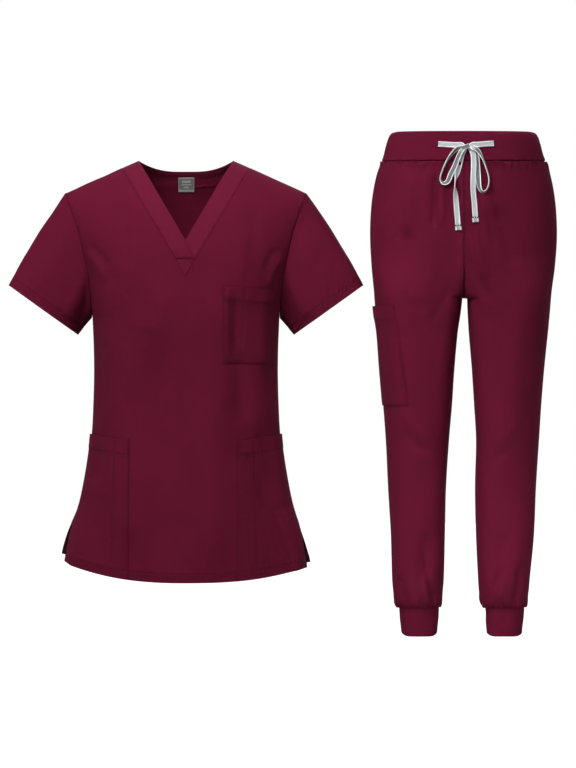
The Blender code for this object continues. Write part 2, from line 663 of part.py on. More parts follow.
def trouser_pair(face, side, j, z):
    share = cargo_share(side, j, z)
    p = trouser_form(face, side, share, z)
    outward = trouser_outward(face, side, share, z)
    if j == 0 and z > CROTCH_Z:
        flat = Vector((0, outward.y, outward.z)).normalized()
        outward = flat * min(2.0, 1 / max(flat.dot(outward), 0.1))
    elif j == 0 and z == CROTCH_Z:
        outward = Vector((-side, 0, -1))
    elif j == 0:
        outward = Vector((-side, 0, 0))
    elif j == COLUMNS:
        outward = Vector((side, 0, outward.z)).normalized()
    wave = max(0.0, along(GATHERS, "height", z)) * math.cos(2 * math.pi * j / GATHER_COLUMNS)
    fade = ease(min(share, 1 - share) / SEAM_FADE_SHARE)
    crease = fold_height(TROUSER_FOLDS, face, p.x - TROUSER_X, z) * fade
    way = outward.normalized()
    return p + way * (wave + crease), outward


def trouser_half(face, side):
    return [[trouser_pair(face, side, j, z) for j in range(COLUMNS + 1)] for z in TROUSER_ROWS]


def waistband():
    grid = []
    for row in WAISTBAND:
        ring = []
        for k in range(4 * COLUMNS + 1):
            quarter, j = divmod(k, COLUMNS)
            share = j / COLUMNS if quarter % 2 == 0 else 1 - j / COLUMNS
            face = FRONT if quarter in (0, 3, 4) else BACK
            side = LEFT if quarter in (0, 1, 4) else RIGHT
            x, y = hip_point(row.half, row.front, share, face)
            ring.append(Vector((TROUSER_X + side * x, y, row.z)))
        grid.append(ring)
    return with_outward(grid[::-1], Vector((TROUSER_X, 0, 0)))


def cuff(side):
    grid = []
    for z in (CUFF_TOP_Z, (CUFF_TOP_Z + CUFF_END_Z) / 2, CUFF_END_Z):
        ring = [trouser_form(FRONT, side, j / COLUMNS, z) for j in range(COLUMNS)]
        ring += [trouser_form(BACK, side, 1 - j / COLUMNS, z) for j in range(COLUMNS + 1)]
        grid.append(ring)
    middle = (leg_value(side, "out", CUFF_END_Z) + leg_value(side, "in", CUFF_END_Z)) / 2
    lean = along(LEGS, "lean", CUFF_END_Z)
    return with_outward(grid, Vector((TROUSER_X + side * middle, lean, 0)))


def with_outward(grid, middle):
    """Outward at each point of closed rings, level, away from the middle line."""
    result = []
    for ring in grid:
        pairs = []
        for i, p in enumerate(ring[:-1]):
            around = ring[i + 1] - ring[i - 1 if i else -2]
            outward = Vector((around.y, -around.x, 0)).normalized()
            aside = Vector((p.x - middle.x, p.y - middle.y, 0))
            pairs.append((p, outward if outward.dot(aside) > 0 else -outward))
        result.append(pairs + pairs[:1])
    return result


# ---- Pockets: cut from their panel's own points and moved out ----

def cut(grid, rows, columns):
    return [line[columns[0]:columns[1] + 1] for line in grid[rows[0]:rows[1] + 1]]


def bulged(grid, height, edge_columns=(True, True)):
    """The grid with its first row, the mouth, standing off. This fades downwards and to the sewn edges."""
    rows, columns = len(grid) - 1, len(grid[0]) - 1
    result = []
    for i, line in enumerate(grid):
        new = []
        for j, (p, n) in enumerate(line):
            across = j / columns
            fade = 1.0
            if edge_columns[0]:
                fade *= ease(across / MOUTH_FADE_IN)
            if edge_columns[1]:
                fade *= lerp(MOUTH_AT_SIDE, 1, ease((1 - across) / MOUTH_FADE_OUT))
            new.append((p + n * (height * fade * (1 - ease(i / rows / MOUTH_FADE_DOWN))), n))
        result.append(new)
    return result


# ---- Drawstring ----

def cloth_y(x, z):
    table = WAISTBAND if z > WAIST_Z else LEGS
    half = along(WAISTBAND, "half", z) if z > WAIST_Z else along(LEGS, "left_out", z)
    return -along(table, "front", z) * max(0.0, 1 - (abs(x) / half) ** HIP_POWER) ** (1 / HIP_POWER)


def smooth_route(points):
    """Catmull-Rom points through a route's rows, about TAPE_STEP apart."""
    ends = [points[0]] + list(points) + [points[-1]]
    result = []
    for k in range(1, len(ends) - 2):
        before, here, there, after = (Vector(ends[i]) for i in range(k - 1, k + 3))
        parts = max(1, round((there - here).length / TAPE_STEP))
        for i in range(parts):
            t = i / parts
            square = 2 * before - 5 * here + 4 * there - after
            cube = 3 * here - before - 3 * there + after
            result.append(0.5 * (2 * here + (there - before) * t + square * t ** 2 + cube * t ** 3))
    return result + [Vector(points[-1])]


def tape(name, rows, material):
    rows = [Tape(*row) for row in rows]
    route = smooth_route([(row.x, cloth_y(row.x, row.z) - row.off, row.z, row.turn) for row in rows])
    middle = [Vector((p[0] + TROUSER_X, p[1], p[2])) for p in route]
    points = []
    for i, p in enumerate(middle):
        run = (middle[min(i + 1, len(middle) - 1)] - middle[max(i - 1, 0)]).normalized()
        turn = math.radians(route[i][3])
        flat = run.cross(Vector((0, 1, 0))).normalized()
        wide = (flat * math.cos(turn) + Vector((0, 1, 0)) * math.sin(turn))
        wide = (wide - run * wide.dot(run)).normalized() * (TAPE_WIDTH / 2)
        thick = run.cross(wide).normalized() * (TAPE_WALL / 2)
        points += [p + wide + thick, p - wide + thick, p - wide - thick, p + wide - thick]
    faces = []
    for i in range(len(middle) - 1):
        for j in range(4):
            a, b = 4 * i + j, 4 * i + (j + 1) % 4
            faces += [(a, b, b + 4), (a, b + 4, a + 4)]
    last = 4 * (len(middle) - 1)
    faces += [(0, 2, 1), (0, 3, 2), (last, last + 1, last + 2), (last, last + 2, last + 3)]
    add_object(name, [p * MM for p in points], faces, material)


def knot(material):
    x, z, off = KNOT_AT
    rings, around = 5, 10
    middle = Vector((TROUSER_X + x, cloth_y(x, z) - off, z))
    radii = Vector(KNOT_RADII)
    points = [middle + Vector((-radii.x, 0, 0))]
    for i in range(1, rings):
        lean = math.pi * i / rings
        for k in range(around):
            turn = 2 * math.pi * k / around
            unit = (-math.cos(lean), math.sin(lean) * math.cos(turn), math.sin(lean) * math.sin(turn))
            points.append(middle + Vector([r * c for r, c in zip(radii, unit)]))
    points.append(middle + Vector((radii.x, 0, 0)))
    faces = []
    for k in range(around):
        n = (k + 1) % around
        faces.append((0, 1 + n, 1 + k))
        for i in range(rings - 2):
            a, b = 1 + i * around + k, 1 + i * around + n
            faces += [(a, b, b + around), (a, b + around, a + around)]
        last = 1 + (rings - 2) * around
        faces.append((last + k, last + n, len(points) - 1))
    add_object("drawstring_knot", [p * MM for p in points], faces, material)


# ---- The whole set ----

def build_top(cloth, label):
    front = {side: front_half(side) for side in (RIGHT, LEFT)}
    back = {side: back_half(side) for side in (RIGHT, LEFT)}
    arm_rows = len(NECK_ROWS) + len(CHEST_ROWS) + 1
    for side, name in ((RIGHT, "right"), (LEFT, "left")):
        grid = sleeve(side, front[side], back[side], arm_rows)
        shell(f"sleeve_{name}", [grid], CLOTH_WALL, cloth)
    shell("top_front", list(front.values()), CLOTH_WALL, cloth)
    shell("top_back", list(back.values()), CLOTH_WALL, cloth)
    right_band, left_band = neck_band(RIGHT), neck_band(LEFT)
    shell("neckband_right", [right_band], CLOTH_WALL, cloth)
    shell("neckband_left", [left_band], CLOTH_WALL, cloth)
    shell("neck_insert", [neck_insert()], CLOTH_WALL, cloth)
    band = back_band()
    shell("neckband_back", [band], CLOTH_WALL, cloth)

    half = len(band) // 2
    tag_band = [[band[half + k][t] for k in (-1, 0, 1)] for t in (1, 2)]
    tag_panel = [[back[RIGHT][i][1], back[RIGHT][i][0], back[LEFT][i][1]] for i in range(3)]
    tag = inside(tag_band + tag_panel[1:], CLOTH_WALL)
    shell("neck_label", [tag], LABEL_WALL, label, LAY_GAP)

    pocket_top = len(NECK_ROWS)
    pocket_end = pocket_top + 4
    chest = cut(front[LEFT], (pocket_top, pocket_end), (CHEST_POCKET_COLUMN, CHEST_POCKET_LAST))
    shell("chest_pocket", [bulged(chest, CHEST_MOUTH_BULGE)], POCKET_WALL, cloth, LAY_GAP)
    mouth = len(NECK_ROWS) + len(CHEST_ROWS) + 5
    for side, name in ((RIGHT, "right"), (LEFT, "left")):
        pocket = cut(front[side], (mouth, len(front[side]) - 1), (HIP_POCKET_COLUMN, COLUMNS))
        shell(f"hip_pocket_{name}", [bulged(pocket, HIP_MOUTH_BULGE)], POCKET_WALL, cloth, LAY_GAP)


def build_trousers(cloth, knit, tape_cloth):
    panels = {}
    for side, name in ((RIGHT, "right"), (LEFT, "left")):
        for face, where in ((FRONT, "front"), (BACK, "back")):
            panels[face, side] = trouser_half(face, side)
            shell(f"trouser_{where}_{name}", [panels[face, side]], CLOTH_WALL, cloth)
        shell(f"cuff_{name}", [cuff(side)], CUFF_WALL, knit)
    shell("waistband", [waistband()], BAND_WALL, knit)

    rows = (TROUSER_ROWS.index(POCKET_TOP_Z), TROUSER_ROWS.index(POCKET_END_Z))
    ahead = cut(panels[FRONT, RIGHT], rows, (CARGO_COLUMN, COLUMNS))
    behind = cut(panels[BACK, RIGHT], rows, (CARGO_COLUMN, COLUMNS))
    across = bulged([a + b[-2::-1] for a, b in zip(ahead, behind)], CARGO_BULGE, (True, False))
    side_seam = COLUMNS - CARGO_COLUMN
    cargo = [[line[:side_seam + 1] for line in across], [line[:side_seam - 1:-1] for line in across]]
    shell("cargo_pocket", cargo, POCKET_WALL, cloth, LAY_GAP)

    for name, rows in TAPES.items():
        tape(name, rows, tape_cloth)
    knot(tape_cloth)


def main():
    clear_scene()
    cloth = make_material("wine twill", WINE, 0.85)
    knit = make_material("wine knit", WINE_KNIT, 0.9)
    label = make_material("label", LABEL_GREY, 0.6)
    tape_cloth = make_material("drawstring tape", TAPE_GREY, 0.7)
    build_top(cloth, label)
    build_trousers(cloth, knit, tape_cloth)


main()
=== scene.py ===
"""Medical scrubs: a V-neck top and jogger trousers, filled out as if worn, side by side.

Forms are worked out in millimetres from the same sizes as the solids and become metres in the meshes.
"Right" and "left" are the wearer's, so right is -X, and the fronts face -Y.
"""

import math
from collections import namedtuple

import bmesh
import bpy
import numpy as np
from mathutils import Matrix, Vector

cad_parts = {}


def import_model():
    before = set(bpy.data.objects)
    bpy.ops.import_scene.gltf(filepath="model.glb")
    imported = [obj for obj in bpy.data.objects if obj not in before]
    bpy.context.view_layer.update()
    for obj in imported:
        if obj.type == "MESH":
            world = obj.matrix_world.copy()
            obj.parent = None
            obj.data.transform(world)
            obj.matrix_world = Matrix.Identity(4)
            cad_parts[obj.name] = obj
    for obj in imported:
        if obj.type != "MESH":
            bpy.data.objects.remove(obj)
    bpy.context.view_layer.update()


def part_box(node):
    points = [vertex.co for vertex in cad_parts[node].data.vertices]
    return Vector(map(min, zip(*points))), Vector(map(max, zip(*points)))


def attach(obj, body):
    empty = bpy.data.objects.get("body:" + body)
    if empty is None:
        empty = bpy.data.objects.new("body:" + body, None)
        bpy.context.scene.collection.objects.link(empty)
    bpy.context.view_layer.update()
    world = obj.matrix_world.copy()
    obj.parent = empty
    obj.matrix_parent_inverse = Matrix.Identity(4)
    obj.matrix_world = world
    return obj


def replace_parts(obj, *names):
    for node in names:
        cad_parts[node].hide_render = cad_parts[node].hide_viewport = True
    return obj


MM = 0.001
RIGHT, LEFT = -1, 1
FRONT, BACK = -1, 1
NAMES = {RIGHT: "right", LEFT: "left"}
Fold = namedtuple("Fold", "face reach height line")


def table(columns, *rows):
    """Rows with named columns."""
    row = namedtuple("Row", columns)
    return [row(*values) for values in rows]


def folds(face, *rows):
    """Folds on one face: how far each reaches to its sides, its height, and its line's points."""
    return [Fold(face, reach, height, line) for reach, height, *line in rows]


# ---- Sizes of the top ----

NECK_HALF = 82.3
RIDGE_SOFT = 30.0
SHOULDER_X, SHOULDER_Z = 211.0, -57.0
SHOULDER_SLOPE = -SHOULDER_Z / (math.hypot(SHOULDER_X, RIDGE_SOFT) - math.hypot(NECK_HALF, RIDGE_SOFT))
SHOULDER_ROUND = 190.0
SECTION_POWER = 2.4
ARMPIT_Z = -275.0
ARMHOLE_HALF_DEPTH = {FRONT: 57.0, BACK: 53.0}

ARMHOLE = table(
    "z x",
    (-57, 211), (-72, 206.6), (-112, 192), (-146, 183), (-201, 170.5), (-250, 165.2), (-275, 163.5))
SIDE = table(
    "z x",
    (-275, 163.5), (-331, 161.3), (-383, 161.0), (-446, 163), (-478, 165), (-509, 168.5), (-551, 175.5),
    (-593, 184.5), (-614, 191), (-635, 199), (-656, 207), (-677, 213.5), (-694, 217.5), (-710, 219))
DEPTH = table(
    "z front back",
    (0, 120, 96), (-100, 124, 102), (-200, 132, 108), (-275, 132, 106), (-380, 122, 96), (-440, 120, 94),
    (-520, 124, 104), (-620, 130, 116), (-710, 134, 120), (-760, 135, 121))

V_POINT_Z, V_TIP_Z = -140.0, -201.0
V_POINT_SHARE, CROSSING_SHARE = 0.76, 0.853
SEAM_AT_SHOULDER = 111.5
BACK_NECK_DEPTH, BACK_SEAM_DEPTH = 62.0, 77.0
# Here z is the share of the neck seam's way from shoulder to tip.
NECK_ROWS = table(
    "z z_out",
    (0, -57), (0.03, -60), (0.10, -68), (0.20, -82), (0.32, -100), (0.46, -122), (0.61, -146),
    (0.76, -169), (0.853, -185), (1, -201))
CHEST_ROWS = table("z z_out", (-201, -201), (-218.6, -229.5), (-246, -254))
LOWER_ROWS = table(
    "z z_out",
    (-272, -275), (-312, -312), (-354.5, -354.5), (-400, -400), (-443, -443), (-492, -477), (-535, -523),
    (-580, -566), (-632, -622))
FRONT_HEM_ROWS = table("z z_out", (-672, -656), (-708, -683), (-736.5, -705))
BACK_HEM_ROWS = table("z z_out", (-670, -652), (-702, -676), (-728, -694))
FRONT_ROWS = CHEST_ROWS + LOWER_ROWS + FRONT_HEM_ROWS
# Panels of the top count their rows by this many mm, from 1 at the V's tip or at the armpit.
DEPTH_UNIT = 100.0
FRONT_END = 1 + (V_TIP_Z - FRONT_HEM_ROWS[-1].z) / DEPTH_UNIT
BACK_END = 1 + (LOWER_ROWS[0].z - BACK_HEM_ROWS[-1].z) / DEPTH_UNIT
# How often the search for a point on the back's curves halves its range.
HALVINGS = 40
HEM_POWER = 2.4
HEM_TILT, HEM_TILT_TOP, HEM_TILT_REACH = {FRONT: 5.5, BACK: 7.5}, -560.0, 120.0
VENT_TOP, VENT_HEIGHT, VENT_FRONT_IN, VENT_SPREAD, VENT_SHARE = -622.0, 78.0, 7.0, 8.0, 0.9

COLUMNS = 12
# About how wide one column is, and how long the other edges are, so that points can be placed by mm.
COLUMN_MM, POCKET_COLUMN_MM, LEG_COLUMN_MM = 15.0, 16.0, 14.0
NECK_SEAM_MM, ARMHOLE_MM, BAND_MM, BACK_BAND_MM = 200.0, 218.0, 30.0, 15.0
CHEST_POCKET_COLUMN, CHEST_POCKET_LAST, HIP_POCKET_COLUMN = 4, 10, 6
CHEST_POCKET_X = 66.5
CHEST_POCKET_Z = (-218.6, -354.5)
HIP_MOUTH_Z = -492.0
HIP_POCKET_X = table("z right left", (-201, 100, 96), (-480, 96.6, 91.7), (-736, 100.8, 90.8))
HIP_MOUTH_BULGE, CHEST_MOUTH_BULGE, CARGO_BULGE = 4.0, 2.0, 2.0
MOUTH_FADE_IN, MOUTH_FADE_OUT, MOUTH_FADE_DOWN = 0.45, 0.35, 0.7
MOUTH_AT_SIDE, CARGO_AT_SIDE = 0.35, 0.5
CARGO_FULL = 0.9
LABEL_COLUMN = 15.0

HEM_X, HEM_Z = 249.6, -260.4
HEM_HALF, HEM_HALF_DEPTH = 74.5, 47.0
HEM_DIRECTION = (0.814, 0.581)
SLEEVE_CROWN = 4.0
ARM_STARTS_AT = (187.0, -166.0)

# ---- Sizes of the trousers ----

TROUSER_X = 485.6
HIP_MIDDLE, HIP_MIDDLE_RISE = 20.0, 200.0
CROTCH_Z = -240.0
CROTCH_RISE = {FRONT: 80.0, BACK: 110.0}
CROTCH_ROWS = [CROTCH_Z + up for up in (-0.4, 0.0, 0.0001, 0.01, 0.06, 0.4, 1.0)]
CROTCH_BEND = (0.7, 4.0)
CROTCH_BEND_SHARE = 0.35
SPREAD_Z = -100.0
LEG_POWERS = table(
    "z inner outer",
    (-840, 2.1, 2.1), (-700, 2.2, 2.1), (-560, 2.6, 2.1), (-420, 3.2, 2.2), (-320, 4.0, 2.3),
    (-240, 4.8, 2.4), (0, 4.8, 2.4))
HIP_POWER, CENTRE_POWER = 2.3, 10
LEGS = table(
    "z right_out left_out right_in left_in front back leg_front leg_back lean",
    (-1.5, 141.5, 141.5, 0, 0, 99, 99, 90, 92, 0), (-10, 147, 147, 0, 0, 101, 102, 91, 93, 0),
    (-26, 152.5, 152.5, 0, 0, 103, 106, 92, 95, 0), (-52, 158, 158, 0, 0, 105, 112, 94, 98, 0),
    (-85, 162, 162, 0, 0, 106, 117, 96, 101, 0), (-131, 163.6, 163.6, 0, 0, 105, 120, 98, 104, 0),
    (-184, 161, 160, 0.8, 2.8, 103, 118, 98, 106, 0), (-226, 157, 154.5, 1.9, 5.8, 101, 113, 97, 105, 0),
    (-240, 156, 153.2, 2.4, 6.6, 99.6, 109.7, 96.4, 103.6, 0),
    (-266, 154, 151, 5.2, 7.6, 98, 108, 94, 100, 0), (-299, 149.6, 147.9, 10.2, 9.4, 98, 108, 90, 94, -1),
    (-362, 146.1, 141.4, 15.9, 14.5, 98, 108, 82, 84, -3),
    (-425, 140.9, 136.2, 20.1, 18.4, 98, 108, 75, 76, -5),
    (-488, 136.2, 132.1, 25.4, 21.9, 98, 108, 68, 70, -5),
    (-572, 132.1, 126.9, 30.6, 20.1, 98, 108, 62, 64, -1),
    (-656, 127.2, 123.4, 32.4, 21.9, 98, 108, 57, 60, 4),
    (-730, 125.1, 116.4, 34.1, 25.4, 98, 108, 54, 57, 9),
    (-751, 123.4, 114.6, 35.9, 27.1, 98, 108, 51, 53, 10),
    (-772, 119.9, 111.1, 39.4, 30.9, 98, 108, 44, 46, 11),
    (-782, 113.0, 107.6, 42.2, 38.0, 98, 108, 38, 38, 12),
    (-803, 111.2, 105.4, 43.6, 39.2, 98, 108, 34, 34, 12),
    (-824, 108.8, 103.0, 45.4, 40.6, 98, 108, 31, 31, 12),
    (-832, 107.8, 102.0, 46.2, 41.2, 98, 108, 30, 30, 12))
WAISTBAND_TOP, WAIST_Z, CUFF_TOP_Z, CUFF_END_Z = 51.0, -1.5, -782.0, -831.5
FINE_ABOVE_Z, FINE_BELOW_Z = -36.0, -735.0
POCKET_TOP_Z, POCKET_END_Z = -254.0, -427.0
CARGO_COLUMN = 8
CARGO_EDGE = table(
    "z share",
    (-120, 0.667), (-254, 0.70), (-302, 0.667), (-427, 0.594), (-560, 0.667), (-830, 0.667))
WAISTBAND = table(
    "z half front",
    (-1.5, 141.5, 99), (15, 138.6, 98.5), (33, 134, 96), (44, 129.5, 92.5), (49, 124.5, 89),
    (51.3, 116, 83))

# ---- Soft folds: how far each reaches to its sides, its height, and its line of (x, z) ----

SEAM_FADE, SEAM_FADE_SHARE = 30.0, 0.12
CREASE_FADE, RUMPLE_FADE = 8.0, 40.0
FOLD_STARTS, FOLD_ENDS = 0.25, 0.2
RUMPLE_WAVES, RUMPLE_SIZES = 9, (0.7, 1.6)
TOP_FOLDS = folds(
    FRONT,
    (25, 6.3, (-112, -300), (-108, -700)), (27, -8.1, (-50, -290), (-36, -745)),
    (26, 6.3, (42, -320), (52, -745)), (56, -14.0, (158, -420), (168, -780)),
    (20, -7.2, (96, -215), (100, -480)), (22, 2.4, (-20, -215), (-60, -310))) + folds(
    BACK,
    (26, -8.1, (-62, -250), (-56, -735)), (26, -8.1, (66, -230), (58, -735)),
    (28, 5.4, (4, -330), (2, -735)), (20, 4.5, (-90, -150), (-30, -230)))
TOP_CREASES = folds(
    FRONT,
    (9, 2.7, (-124, -201), (-131, -238), (-137, -275), (-146, -330)),
    (10, -2.5, (-148, -236), (-152, -300), (-150, -390), (-146, -470)),
    (7, -2.0, (-170, -148), (-150, -164), (-132, -190)),
    (6, 2.0, (-176, -160), (-156, -180), (-140, -212)), (7, -2.2, (168, -150), (150, -168), (138, -196)),
    (6, 1.9, (172, -168), (154, -190), (142, -226)), (9, 2.4, (128, -232), (136, -300), (138, -372)),
    (10, -2.5, (146, -262), (150, -340), (150, -440)), (12, -2.2, (-108, -60), (-104, -130), (-110, -190)),
    (12, 2.0, (-86, -128), (-88, -180), (-96, -240)), (12, 2.0, (104, -120), (100, -170), (96, -214)),
    (12, -2.0, (122, -70), (120, -130), (112, -180)), (10, 1.7, (8, -330), (12, -430), (6, -540)),
    (10, -1.7, (-8, -380), (-2, -480), (4, -600))) + folds(
    BACK,
    (9, 2.5, (150, -205), (120, -260), (110, -330)), (9, -2.4, (-152, -210), (-124, -262), (-112, -336)),
    (12, -2.4, (-30, -120), (-44, -200), (-50, -280)), (12, 2.0, (40, -140), (36, -240), (30, -330)),
    (10, 1.9, (-120, -420), (-126, -520), (-134, -640)), (10, 1.9, (122, -400), (126, -500), (140, -640)))
TROUSER_FOLDS = folds(
    FRONT,
    (14, -5.2, (50, -75), (90, -190)), (6, -6.5, (-50, -20), (-52, -74), (-55, -122)),
    (8, 4.2, (-39, -20), (-39, -80), (-42, -120)), (12, 4.8, (-96, -12), (-94, -70), (-98, -140)),
    (8, 4.2, (33, -44), (48, -88), (68, -130)), (8, 4.2, (8, -108), (22, -156), (38, -214)),
    (22, 5.2, (-92, -300), (-72, -560)), (22, 5.2, (84, -280), (70, -560)),
    (14, -5.2, (-62, -640), (-78, -760)), (14, -5.2, (70, -640), (58, -760))) + folds(
    BACK,
    (14, -5.2, (60, -190), (20, -245)), (14, -5.2, (-60, -190), (-20, -245)),
    (20, -6.0, (-84, -380), (-78, -640)), (20, -6.0, (78, -380), (72, -640)))
TROUSER_CREASES = folds(
    FRONT,
    (7, 2.2, (30, -50), (34, -100), (44, -150)), (22, -4.0, (-28, -110), (-30, -200), (-36, -330)),
    (18, 2.4, (-78, -120), (-76, -190), (-80, -260)), (8, -2.4, (14, -160), (26, -205), (50, -250)),
    (7, 2.0, (10, -190), (24, -228), (46, -272)), (8, -2.0, (-12, -205), (-34, -246), (-64, -290)),
    (8, 1.9, (-110, -440), (-84, -470), (-56, -486)), (8, -1.9, (-108, -470), (-84, -496), (-50, -512)),
    (8, 1.9, (100, -452), (74, -476), (44, -500)), (8, -1.9, (104, -486), (76, -508), (46, -524)),
    (7, -4.6, (-68, -676), (-59, -728), (-48, -776)), (6, 2.7, (-72, -722), (-66, -752), (-60, -778)),
    (6, -4.0, (-115, -722), (-107, -752), (-98, -780)), (6, -3.1, (68, -704), (52, -744), (41, -776)),
    (6, 2.7, (72, -716), (66, -748), (62, -778)), (6, -4.4, (98, -704), (95, -744), (89, -778))) + folds(
    BACK,
    (8, 2.4, (-30, -236), (-58, -262), (-96, -276)), (8, 2.4, (30, -236), (58, -262), (94, -276)),
    (11, -2.0, (-118, -446), (-88, -478), (-50, -490)), (11, -2.0, (114, -440), (84, -474), (46, -488)),
    (10, 1.8, (-112, -484), (-84, -508), (-56, -512)), (10, 1.8, (108, -480), (82, -506), (52, -514)),
    (6, -3.1, (-100, -724), (-92, -752), (-84, -778)), (6, 2.7, (-66, -724), (-66, -752), (-70, -778)),
    (6, -3.1, (52, -724), (56, -752), (60, -778)), (6, 2.7, (88, -724), (86, -752), (82, -778)))

# ---- Drawstring: (x, z, off the cloth, turn), turn 0 where the tape lies flat and 90 on edge ----

TAPE_WIDTH, TAPE_EDGE, TAPE_STEP = 9.5, 1.3, 2.0
KNOT_AT = (1.6, 22.6, 5.8)
KNOT_RADII, KNOT_WIDTH = (6.8, 5.0, 2.4), 7.8
# The knot is one tape round the others, by so many quarter turns each way, and it mostly takes the loops'
# painted shade.
KNOT_WRAP, KNOT_RINGS, KNOT_PAINTED_SHADE = 1.3225, 25, 0.9
# Over how many mm a loop's painted shade fades in and out at its ends.
LOOP_SHADE_FADE = 12.0
# Half of the tape's section, in shares of its half width and of TAPE_EDGE.
TAPE_SECTION = (
    (-1.0, 0.0), (-0.93, 0.5), (-0.78, 0.62), (-0.62, 0.42),
    (0.0, 0.36), (0.62, 0.42), (0.78, 0.62), (0.93, 0.5))
# The folded ends, and the slits of the buttonholes, drawn as dark strips of painted shade, with their stitches.
END_RISE, END_WIDER, END_THICKER = 0.4, 1.6, 1.7
END_STITCH_HALF, END_STITCH_OFF = 4.2, 2.7
SLIT_HALF, SLIT_IN, SLIT_WIDTH, SLIT_STITCH_ASIDE = 6.0, 1.0, 1.4, 1.9
STRETCHES = {
    RIGHT: ((-45.5, 28, 1.7, 0), (-30, 27, 1.7, 0), (-16, 26.2, 2.2, 0), (-4.8, 26.2, 4.2, 0)),
    LEFT: ((51.6, 28.9, 1.8, 0), (36, 28, 1.8, 0), (24, 26.8, 2.0, 0), (13.4, 26.4, 3.6, 0))}
LOOPS = {
    RIGHT: (
        (-3.4, 22.2, 7.6, 20), (-14.5, 18.5, 7.8, 45), (-28.5, 1.8, 7.2, 72), (-38.5, -19, 6.8, 80),
        (-42, -33, 6.6, 78), (-37.5, -41, 6.4, 60), (-29, -38, 5.8, 30), (-24.2, -26, 7.6, 14),
        (-17.2, -12, 7.9, 18), (-9.4, 8, 7.6, 36), (-4.6, 16.6, 8.4, 36), (-1.2, 19.4, 8.4, 36)),
    LEFT: (
        (12.4, 22.4, 7.6, 20), (22, 18, 7.8, 35), (31, 4, 7.2, 70), (38, -14, 6.8, 80), (43, -34, 6.6, 80),
        (40, -50, 6.6, 80), (32.6, -56.5, 6.2, 70), (27, -50, 5.2, 50), (24.4, -36, 3.6, 20),
        (22.8, -12, 2.4, 5), (20.8, 7, 2.4, 0), (14.2, 18.6, 2.6, 0))}
TAILS = {
    RIGHT: (
        (0.2, 20.3, 3.4, 0), (-4.4, 9, 2.1, 0), (-8.8, -9, 2.2, 0), (-11.8, -20, 2.6, 15),
        (-15.4, -32, 6.2, 72), (-16.8, -46, 7.0, 85), (-15.4, -62, 4.2, 30), (-13.2, -90, 2.2, 0),
        (-10.3, -122.5, 2.2, 0)),
    LEFT: (
        (11.2, 20.2, 4.5, 0), (15.6, 9, 5.2, 0), (16.2, -12, 5.6, 0), (15.2, -34, 5.2, 0), (15.4, -55, 3.4, 0),
        (17.4, -77, 2.4, 0), (19.6, -108.5, 2.2, 0))}

# ---- Cloth and sewing ----

CLOTH_WALL, POCKET_WALL, BAND_WALL, CUFF_WALL, LABEL_WALL = 0.9, 0.8, 2.2, 1.8, 0.5
LAY_GAP = 0.35
BAND_PROUD, BAND_OVER = 0.5, 0.9
HEM_TURN, CHEST_TURN, HIP_TURN, CARGO_TURN = 17.0, 25.0, 26.0, 25.0
# A turned hem's extra thickness, over how many mm it ends, and its stitches' distance from that end.
TURN_THICK, POCKET_TURN_THICK, TURN_STEP, TURN_STITCH, TURN_SHADE_AT = 0.45, 0.8, 1.6, 1.5, 0.5
# Extra rows and columns of points, in mm from a seam or edge, and how near to others they may be.
SEAM_GAPS, BESIDE_GAPS, CLOSEST_STEP = (0.8, 1.7, 2.8), (0.2, 1.0, 1.8, 2.8), 0.12
HEM_GAPS = (0.8, *(HEM_TURN + gap for gap in (-3.2, -2.3, -1.5, -0.7, 0.2, 1.0)))
POCKET_SIDE_GAPS, BAND_GAPS, RIB_GAPS = (1.2, 2.4, 3.6), (0.5, 1.2, 2.2), (0.6, 1.4, 2.4)
# How far rows of stitches are from their edge or seam.
POCKET_STITCH, CHEST_ROW, CHEST_TOP_ROW, HIP_ROW, CARGO_ROW = 2.0, 4.5, 5.0, 7.0, 5.0
HIP_MOUTH_STITCH, BACK_BAND_STITCH, INSERT_STITCHES = 10.0, 7.0, (3.0, 6.2)
VENT_STITCH, VENT_STITCH_ENDS = 6.0, (0.9, 0.985)
CARGO_SEWN = ("start", "end", "bottom")
FLY_STITCH_X, FLY_STITCH_Z = 2.0, (-40, -232)
# How far from a seam the cloth puckers and how far the shade painted along it reaches, how far beside a side
# seam it dips, and how strong the shade painted along a side seam is.
SEAM_PUCKER, SEAM_LINE, SIDE_DIP_AT, SIDE_SHADE = 11.0, 1.5, 1.3, 0.7
# The neck seam's dip and the shade painted along it, and the shade painted where the neckbands cross.
NECK_DIP, NECK_SHADE, CROSSING_SHADE = 0.5, 0.35, 0.3
# How far painted shade reaches beside a sewn-on piece, how far a rim rounds out, and how much painted shade a
# rim keeps.
UNDER_LINE, RIM_ROUND, RIM_SHADE = 1.6, 0.35, 0.5
LABEL_RAISE = 5.0
CUFF_CORNER = {RIGHT: 7.0, LEFT: 6.0}
SLEEVE_HALF_ROUND, SLEEVE_LENGTH, SLEEVE_TUCK = 200.0, 150.0, 0.012
SLEEVE_FOLDS = {
    RIGHT: folds(
        FRONT,
        (16, -4.5, (150, 0), (165, 60), (172, 140)), (14, 3.0, (120, 0), (130, 70), (140, 140)),
        (18, 2.4, (60, 10), (70, 80), (80, 140)), (14, -3.0, (250, 0), (240, 70), (232, 140))),
    LEFT: folds(
        FRONT,
        (16, -4.5, (146, 0), (160, 60), (168, 140)), (14, 3.0, (118, 0), (128, 70), (138, 140)),
        (18, 2.4, (64, 10), (72, 80), (84, 140)), (14, -3.0, (252, 0), (244, 70), (236, 140)))}
CHEST_FOLDS = folds(
    FRONT,
    (7, 1.9, (74, -212), (73, -360)), (12, -2.8, (92, -212), (88, -290), (86, -350)),
    (10, 1.8, (106, -220), (104, -300), (102, -350)))
